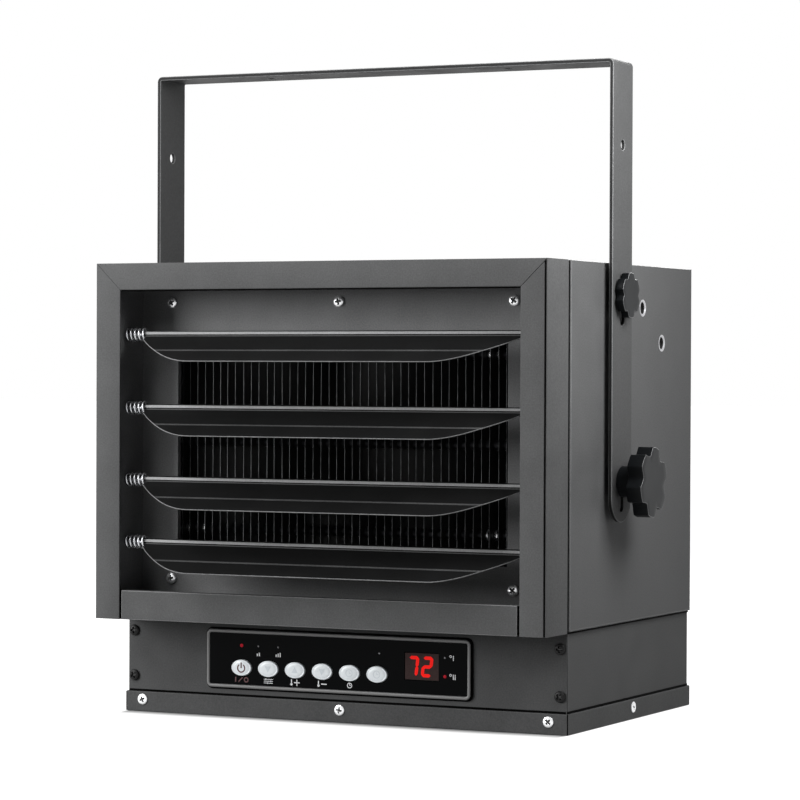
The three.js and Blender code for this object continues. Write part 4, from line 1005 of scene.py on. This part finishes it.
def bezel():
    """The rim, a black strip behind it that paints the shade round the rim, and the glossy plate with its
    holes.
    """
    profile = [(0.0, 2.7), (0.0, 0.7), (0.2, 0.25), (0.7, 0.0), (1.7, 0.0), (2.3, 0.25), (2.6, 0.8)]
    profile += [(2.6, 1.8), (4, 2.7)]
    rings = []
    for inset, depth in profile:
        rings.append([(x, BEZEL_Y + depth, z) for x, z in bezel_loop(inset, max(4 - inset, 0.9))])
    rim = smooth(lofted(rings, wrap=True), 50)
    for polygon in rim.polygons:
        if polygon.center.y / MM > BEZEL_Y + 0.75:
            polygon.material_index = 1
    piece("bezel_rim", rim, "cabinet", RIM, BLACK_AND_SHADE, stands_for=["control_bezel"], slot="gloss_black")
    profile = [(-1.3, 2.95), (-1.3, 2.5), (-0.9, 2.2), (1, 2.2), (1, 2.95)]
    seat = [[(x, BEZEL_Y + depth, z) for x, z in bezel_loop(inset, 4 - inset)] for inset, depth in profile]
    piece("bezel_painted_shade", smooth(lofted(seat, wrap=True), 30), "cabinet", BLACK_AND_SHADE)
    loops = [bezel_loop(2.5, 1.4)]
    loops += [oval(x, BUTTON_Z, 8.8, 6.3) for x in BUTTON_X]
    x, z = DISPLAY
    loops.append(rounded_rect(x - 14, x + 14, z - 10.1, z + 10.1, 0.6))
    plate = rounded(sheet(loops, 1.4, lambda u, v, d: (u, GLASS_FACE + d, v)), 0.25)
    piece("bezel_glass", plate, "cabinet", GLASS, GLASS, stands_for=["control_bezel"], slot="gloss_black")


bezel()


def flat_mark(loops, face, thickness):
    """A printed mark: a thin sheet on a face at a given depth."""
    return sheet(loops, thickness, lambda u, v, d: (u, face - thickness + d, v))


def bar(x0, z0, x1, z1, width):
    """A thick line with square ends."""
    along = Vector((x1 - x0, z1 - z0)).normalized() * width / 2
    across = Vector((-along.y, along.x))
    a, b = Vector((x0, z0)), Vector((x1, z1))
    loop = (a - along + across, a - along - across, b + along - across, b + along + across)
    return [tuple(point) for point in loop]


def part_ring(x, z, r, width, start, end, steps):
    outer, inner = [], []
    for i in range(steps + 1):
        a = math.radians(start + (end - start) * i / steps)
        outer.append((x + (r + width / 2) * math.cos(a), z + (r + width / 2) * math.sin(a)))
        inner.append((x + (r - width / 2) * math.cos(a), z + (r - width / 2) * math.sin(a)))
    return outer + inner[::-1]


def button(index):
    """A key with a raised rim, and its mark: power, down, up, down, clock and clock."""
    x, z = BUTTON_X[index], BUTTON_Z
    profile = [(1.0, 3.2), (1.0, 0.45), (0.985, 0.15), (0.955, 0.0), (0.87, 0.0), (0.855, 0.12)]
    profile += [(0.83, 0.12), (0.81, 0.02), (0.5, 0.08), (0.2, 0.1)]
    rings = []
    for share, depth in profile:
        rings.append([(u, BUTTON_FACE + depth, v) for u, v in oval(x, z, 8.5 * share, 6 * share, 64)])
    name = f"button_{index + 1}"
    mesh = smooth(lofted(rings), 50)
    piece(f"key_{index + 1}", mesh, name, BUTTON_WHITE, stands_for=[name], slot="white_plastic")
    if index == 0:
        loops = [part_ring(x, z - 0.3, 3.0, 0.95, 125, 415, 40), bar(x, z + 0.2, x, z + 3.5, 0.95)]
    elif index in (1, 3):
        loops = [[(x - 2.6, z + 2), (x, z - 2.6), (x + 2.6, z + 2)]]
    elif index == 2:
        loops = [[(x - 2.6, z - 2), (x + 2.6, z - 2), (x, z + 2.6)]]
    else:
        loops = [part_ring(x, z, 2.6, 0.5, 0, 350, 40), bar(x, z, x, z + 1.5, 0.45)]
        loops.append(bar(x + 0.3, z, x + 1.3, z, 0.45))
    marks = [flat_mark([loop], BUTTON_FACE + 0.05, 0.08) for loop in loops]
    mark = RED_MARK if index == 0 else BUTTON_MARK
    piece(f"key_mark_{index + 1}", mesh_of(joined(*marks)), name, mark)


for i in range(6):
    button(i)


def segment(name, x, z, w, h, t):
    """One segment of a digit w wide and h high, t thick, with pointed ends."""
    top, bottom = z + h / 2 - t / 2, z - h / 2 + t / 2
    left, right = -w / 2 + t / 2, w / 2 - t / 2
    gap, lean = 0.25, 0.12
    ends = {
        "a": ((left + gap, top), (right - gap, top)),
        "g": ((left + gap, z), (right - gap, z)),
        "d": ((left + gap, bottom), (right - gap, bottom)),
        "b": ((right, z + gap), (right, top - gap)),
        "e": ((left, bottom + gap), (left, z - gap)),
        "c": ((right, bottom + gap), (right, z - gap)),
    }
    a, b = (Vector(end) for end in ends[name])
    along = (b - a).normalized()
    across = Vector((-along.y, along.x)) * t / 2
    tip = along * t * 0.28
    loop = [a - tip, a + tip + across, b - tip + across, b + tip, b - tip - across, a + tip - across]
    return [(x + u + (v - z) * lean, v) for u, v in loop]


def display():
    x, z = DISPLAY
    face = GLASS_FACE + 0.35
    loop = rounded_rect(x - 13.7, x + 13.7, z - 9.8, z + 9.8, 0.4)
    window = rounded(sheet([loop], 1.0, lambda u, v, d: (u, face + d, v)), 0.15)
    piece(
        "display_window", window, "cabinet", WINDOW, WINDOW,
        stands_for=["display_module"], slot="display_red",
    )
    lit = []
    for names, at in (("abc", x - 1.4 - 5.7), ("abged", x - 1.4 + 5.7)):
        for name in names:
            lit.append(flat_mark([segment(name, at, z, 8.8, 15.4, 2.5)], face, 0.12))
    piece("display_digits", mesh_of(joined(*lit)), "cabinet", DIGIT_RED)


display()


def lamp(name, x, z, r, material):
    face = GLASS_FACE
    profile = [(r, face + 0.3), (r, face - 0.1), (r * 0.85, face - 0.3)]
    profile += [(r * 0.5, face - 0.42), (0.05, face - 0.46)]
    mesh = smooth(turned(profile, "y", (x, z), 24), 50)
    piece(name, mesh, "cabinet", material)


lamp("lamp_power", -82.4, -436, 1.35, LAMP_RED)
lamp("lamp_low", -68.2, -436.1, 0.7, DARK_LAMP)
lamp("lamp_high", -51.3, -436.2, 0.7, DARK_LAMP)
lamp("lamp_timer", 33.3, -437.1, 0.7, DARK_LAMP)
lamp("lamp_unit_1", 86.6, -438.1, 0.8, DARK_LAMP)
lamp("lamp_unit_2", 86.7, -451.8, 1.25, LAMP_RED)


def print_marks():
    """Generic marks where the panel has words: level bars, plus and minus, a dial, degree rings."""
    z = -441.9
    pale = []
    for x, count in ((-68.2, 2), (-51.3, 3)):
        for k in range(count):
            u = x + (k - (count - 1) / 2) * 1.7
            pale.append(bar(u, z - 1.1, u, z - 0.1 + 0.7 * k, 0.8))
    z = -461.9
    x = BUTTON_X[1]
    for k, knob_at in enumerate((-1.6, 1.4, -0.4)):
        pale.append(bar(x - 3.6, z + 1.4 - 1.4 * k, x + 3.6, z + 1.4 - 1.4 * k, 0.4))
        pale.append(circle(x + 1.4 * knob_at, z + 1.4 - 1.4 * k, 0.6, 16))
    for x, count in ((BUTTON_X[2], 2), (BUTTON_X[3], 1)):
        pale.append(bar(x - 3.2, z - 0.6, x - 3.2, z + 1.9, 0.8))
        pale.append(circle(x - 3.2, z - 1.2, 1.0, 20))
        pale.append(bar(x - 0.6, z, x + 3.4, z, 0.75))
        if count == 2:
            pale.append(bar(x + 1.4, z + 0.4, x + 1.4, z + 2.0, 0.75))
            pale.append(bar(x + 1.4, z - 0.4, x + 1.4, z - 2.0, 0.75))
    x = BUTTON_X[4]
    pale.append(part_ring(x, z, 1.8, 0.55, 0, 355, 30))
    pale.append(bar(x, z, x, z + 1.2, 0.5))
    pale.append(bar(x, z, x + 0.9, z, 0.5))
    for z, count in ((-438.1, 1), (-451.8, 2)):
        pale.append(part_ring(91.2, z + 1.2, 0.75, 0.45, 0, 355, 20))
        for k in range(count):
            pale.append(bar(93.4 + 1.5 * k, z - 1.6, 93.4 + 1.5 * k, z + 1.4, 0.65))
    made = [flat_mark([loop], GLASS_FACE, 0.06) for loop in pale]
    piece("panel_marks", mesh_of(joined(*made)), "cabinet", PALE_MARK)
    x, z = BUTTON_X[0], -461.7
    red = [bar(x - 5.2, z - 1.4, x - 5.2, z + 1.4, 0.9), bar(x - 2.6, z - 1.4, x + 0.4, z + 1.4, 0.7)]
    red.append(part_ring(x + 3.8, z, 1.6, 0.8, 0, 355, 30))
    made = [flat_mark([loop], GLASS_FACE, 0.06) for loop in red]
    piece("panel_mark_power", mesh_of(joined(*made)), "cabinet", RED_MARK)


print_marks()

# ---- the rest of the model ----
softened("back_panel", "back_plate", 0.4, *SIDE_FINISH)

INLET_R = 104
GUARD_RINGS = 3
GUARD_HUB_R = 20
GUARD_BAR_HALF = 1.8


def guard():
    """The inlet guard: a flat band, round wire rings, a cross of doubled wires and a cap."""
    lo, hi = (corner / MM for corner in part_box("rear_guard"))
    x, z = (lo.x + hi.x) / 2, (lo.z + hi.z) / 2
    outer = (hi.x - lo.x) / 2
    wire = (hi.y - lo.y) / 2
    deep = lo.y + wire
    profile = [(INLET_R, lo.y + 0.4), (INLET_R + 0.4, lo.y), (outer - 0.4, lo.y), (outer, lo.y + 0.4)]
    profile += [(outer, hi.y - 0.9), (outer - 0.9, hi.y), (INLET_R + 0.9, hi.y), (INLET_R, hi.y - 0.9)]
    band = [[(u, y, v) for u, v in circle(x, z, r, 96)] for r, y in profile]
    parts = [lofted(band, wrap=True)]
    for i in range(GUARD_RINGS):
        r = GUARD_HUB_R + (INLET_R - GUARD_HUB_R) * (i + 1) / (GUARD_RINGS + 1)
        parts.append(tube([(u, deep, v) for u, v in circle(x, z, r, 96)], wire, closed=True))
    for turn in range(4):
        a = turn * math.pi / 2
        for shift in (-GUARD_BAR_HALF, GUARD_BAR_HALF):
            ends = []
            for r in (GUARD_HUB_R - 4, INLET_R + 2):
                u, v = r * math.cos(a) - shift * math.sin(a), r * math.sin(a) + shift * math.cos(a)
                ends.append((x + u, deep, z + v))
            parts.append(tube(ends, wire))
    cap = [(0.05, lo.y), (GUARD_HUB_R - 0.6, lo.y), (GUARD_HUB_R, lo.y + 0.6), (GUARD_HUB_R, hi.y - 1)]
    cap += [(GUARD_HUB_R - 1.2, hi.y - 0.2), (0.05, hi.y)]
    parts.append(turned(cap, "y", (x, z), 64))
    mesh = smooth(joined(*parts), 40)
    piece("inlet_guard", mesh, "cabinet", TRAY_COAT, stands_for=["rear_guard"], slot="black_coat")


guard()
softened("motor_bracket", "motor_strap", 0.5, *DARK_FINISH)
softened("fan_motor", "motor", 0.8, *DARK_FINISH)
softened("fan_blade", "fan", 0.4, *BARE_FINISH)
softened("fan_shroud", "shroud_plate", 0.4, *DARK_FINISH)
softened("shroud_ring", "shroud_hoop", 0.4, *DARK_FINISH)
softened("element_plate_left", "element_end_left", 0.3, *BARE_FINISH)
softened("element_plate_right", "element_end_right", 0.3, *BARE_FINISH)
softened("thermal_cutout", "cutout", 0.3, *BARE_FINISH)
softened("contactor", "relay", 0.6, *BLACK_FINISH)
softened("terminal_block", "terminals", 0.5, CREAM, CREAM, "cream_plastic")
softened("cable_gland", "gland", 0.6, *BLACK_FINISH)
softened("control_board", "board", 0.3, GREEN_BOARD, GREEN_BOARD, "circuit")


# ---- studio ----
def math_node(tree, operation, a, b):
    return add_node(tree, "ShaderNodeMath", {0: a, 1: b}, operation=operation).outputs[0]


def seen_white(tree):
    """1 for a ray that should find the white background: seen directly, reflected or through glass."""
    light = tree.nodes.new("ShaderNodeLightPath").outputs
    either = math_node(tree, "MAXIMUM", light["Is Camera Ray"], light["Is Glossy Ray"])
    return math_node(tree, "MAXIMUM", either, light["Is Transmission Ray"])


FLOOR_REACH = 20
FOOT_HALF = 0.18
FOOT_BACK = 0.161
FOOT_FRONT = -0.075
FADE = 0.03


def add_floor():
    """A grey floor with the background's white laid over it. The white fades out within FADE of the foot
    that the model has at rest, so the floor's grey shows only there: a painted contact shadow round the foot
    at rest, darkened more where the real shadow falls."""
    bm = bmesh.new()
    reach = (-FLOOR_REACH, FLOOR_REACH)
    bm.faces.new([bm.verts.new((x, y, 0)) for x, y in rect(reach, reach)])
    floor = bpy.data.objects.new("floor", mesh_of(bm))
    floor.location.z = FLOOR_Z * MM
    scene.collection.objects.link(floor)
    material = surface("floor", (0.24, 0.24, 0.24), 0.9, spread=0.01, cloud=3, grain=60, bump=0.0)
    tree = material.node_tree
    place = tree.nodes.new("ShaderNodeTexCoord").outputs["Object"]
    split = add_node(tree, "ShaderNodeSeparateXYZ", {0: place}).outputs

    def past(distance, steepness):
        return math_node(tree, "MULTIPLY", math_node(tree, "MAXIMUM", distance, 0), steepness)

    sideways = math_node(tree, "SUBTRACT", math_node(tree, "ABSOLUTE", split["X"], 0), FOOT_HALF)
    behind = math_node(tree, "SUBTRACT", split["Y"], FOOT_BACK)
    before = math_node(tree, "SUBTRACT", FOOT_FRONT, split["Y"])
    outside = {"X": past(sideways, 5), "Y": past(before, 1), "Z": past(behind, 5)}
    away = add_node(tree, "ShaderNodeCombineXYZ", outside).outputs[0]
    far = add_node(tree, "ShaderNodeVectorMath", {0: away}, operation="LENGTH").outputs["Value"]
    # Inside the fade the floor's grey shows as a painted contact shadow fixed round the foot at rest.
    limits = {"Value": far, "From Min": 0.0, "From Max": FADE, "To Min": 0.0, "To Max": 1.0}
    near = add_node(tree, "ShaderNodeMapRange", limits, interpolation_type="SMOOTHSTEP")
    lift = math_node(tree, "MULTIPLY", seen_white(tree), near.outputs["Result"])
    glow = add_node(tree, "ShaderNodeEmission", {"Strength": lift}).outputs[0]
    shader = tree.nodes["Principled BSDF"].outputs[0]
    both = add_node(tree, "ShaderNodeAddShader", {0: shader, 1: glow}).outputs[0]
    tree.links.new(both, tree.nodes["Material Output"].inputs["Surface"])
    floor.data.materials.append(material)


def add_world():
    world = bpy.data.worlds.new("studio")
    scene.world = world
    world.use_nodes = True
    tree = world.node_tree
    background = tree.nodes["Background"]
    background.inputs["Color"].default_value = (1, 1, 1, 1)
    limits = {"Value": seen_white(tree), "To Min": 0.03, "To Max": 1.0}
    strength = add_node(tree, "ShaderNodeMapRange", limits)
    tree.links.new(strength.outputs["Result"], background.inputs["Strength"])


def area_light(name, place, target, size, power):
    """A lamp in metres and watts, pointed at target."""
    data = bpy.data.lights.new(name, "AREA")
    data.shape = "RECTANGLE"
    data.size, data.size_y = size
    data.energy = power
    light = bpy.data.objects.new(name, data)
    scene.collection.objects.link(light)
    light.location = place
    light.rotation_euler = (Vector(target) - Vector(place)).to_track_quat("-Z", "Y").to_euler()


add_floor()
add_world()
area_light("key", (-1.5, -1.55, 0.2), (0, 0, -0.25), (1.0, 1.0), 39)
area_light("overhead", (-0.5, -0.7, 0.5), (0, -0.05, -0.2), (0.8, 0.6), 9)
area_light("right", (0.46, -0.11, 0.04), (0.186, -0.09, -0.17), (0.25, 0.25), 2.7)
area_light("back", (-0.4, 1.6, 0.5), (0, 0.1, -0.25), (1.0, 1.0), 26)
scene.view_settings.view_transform = "Standard"
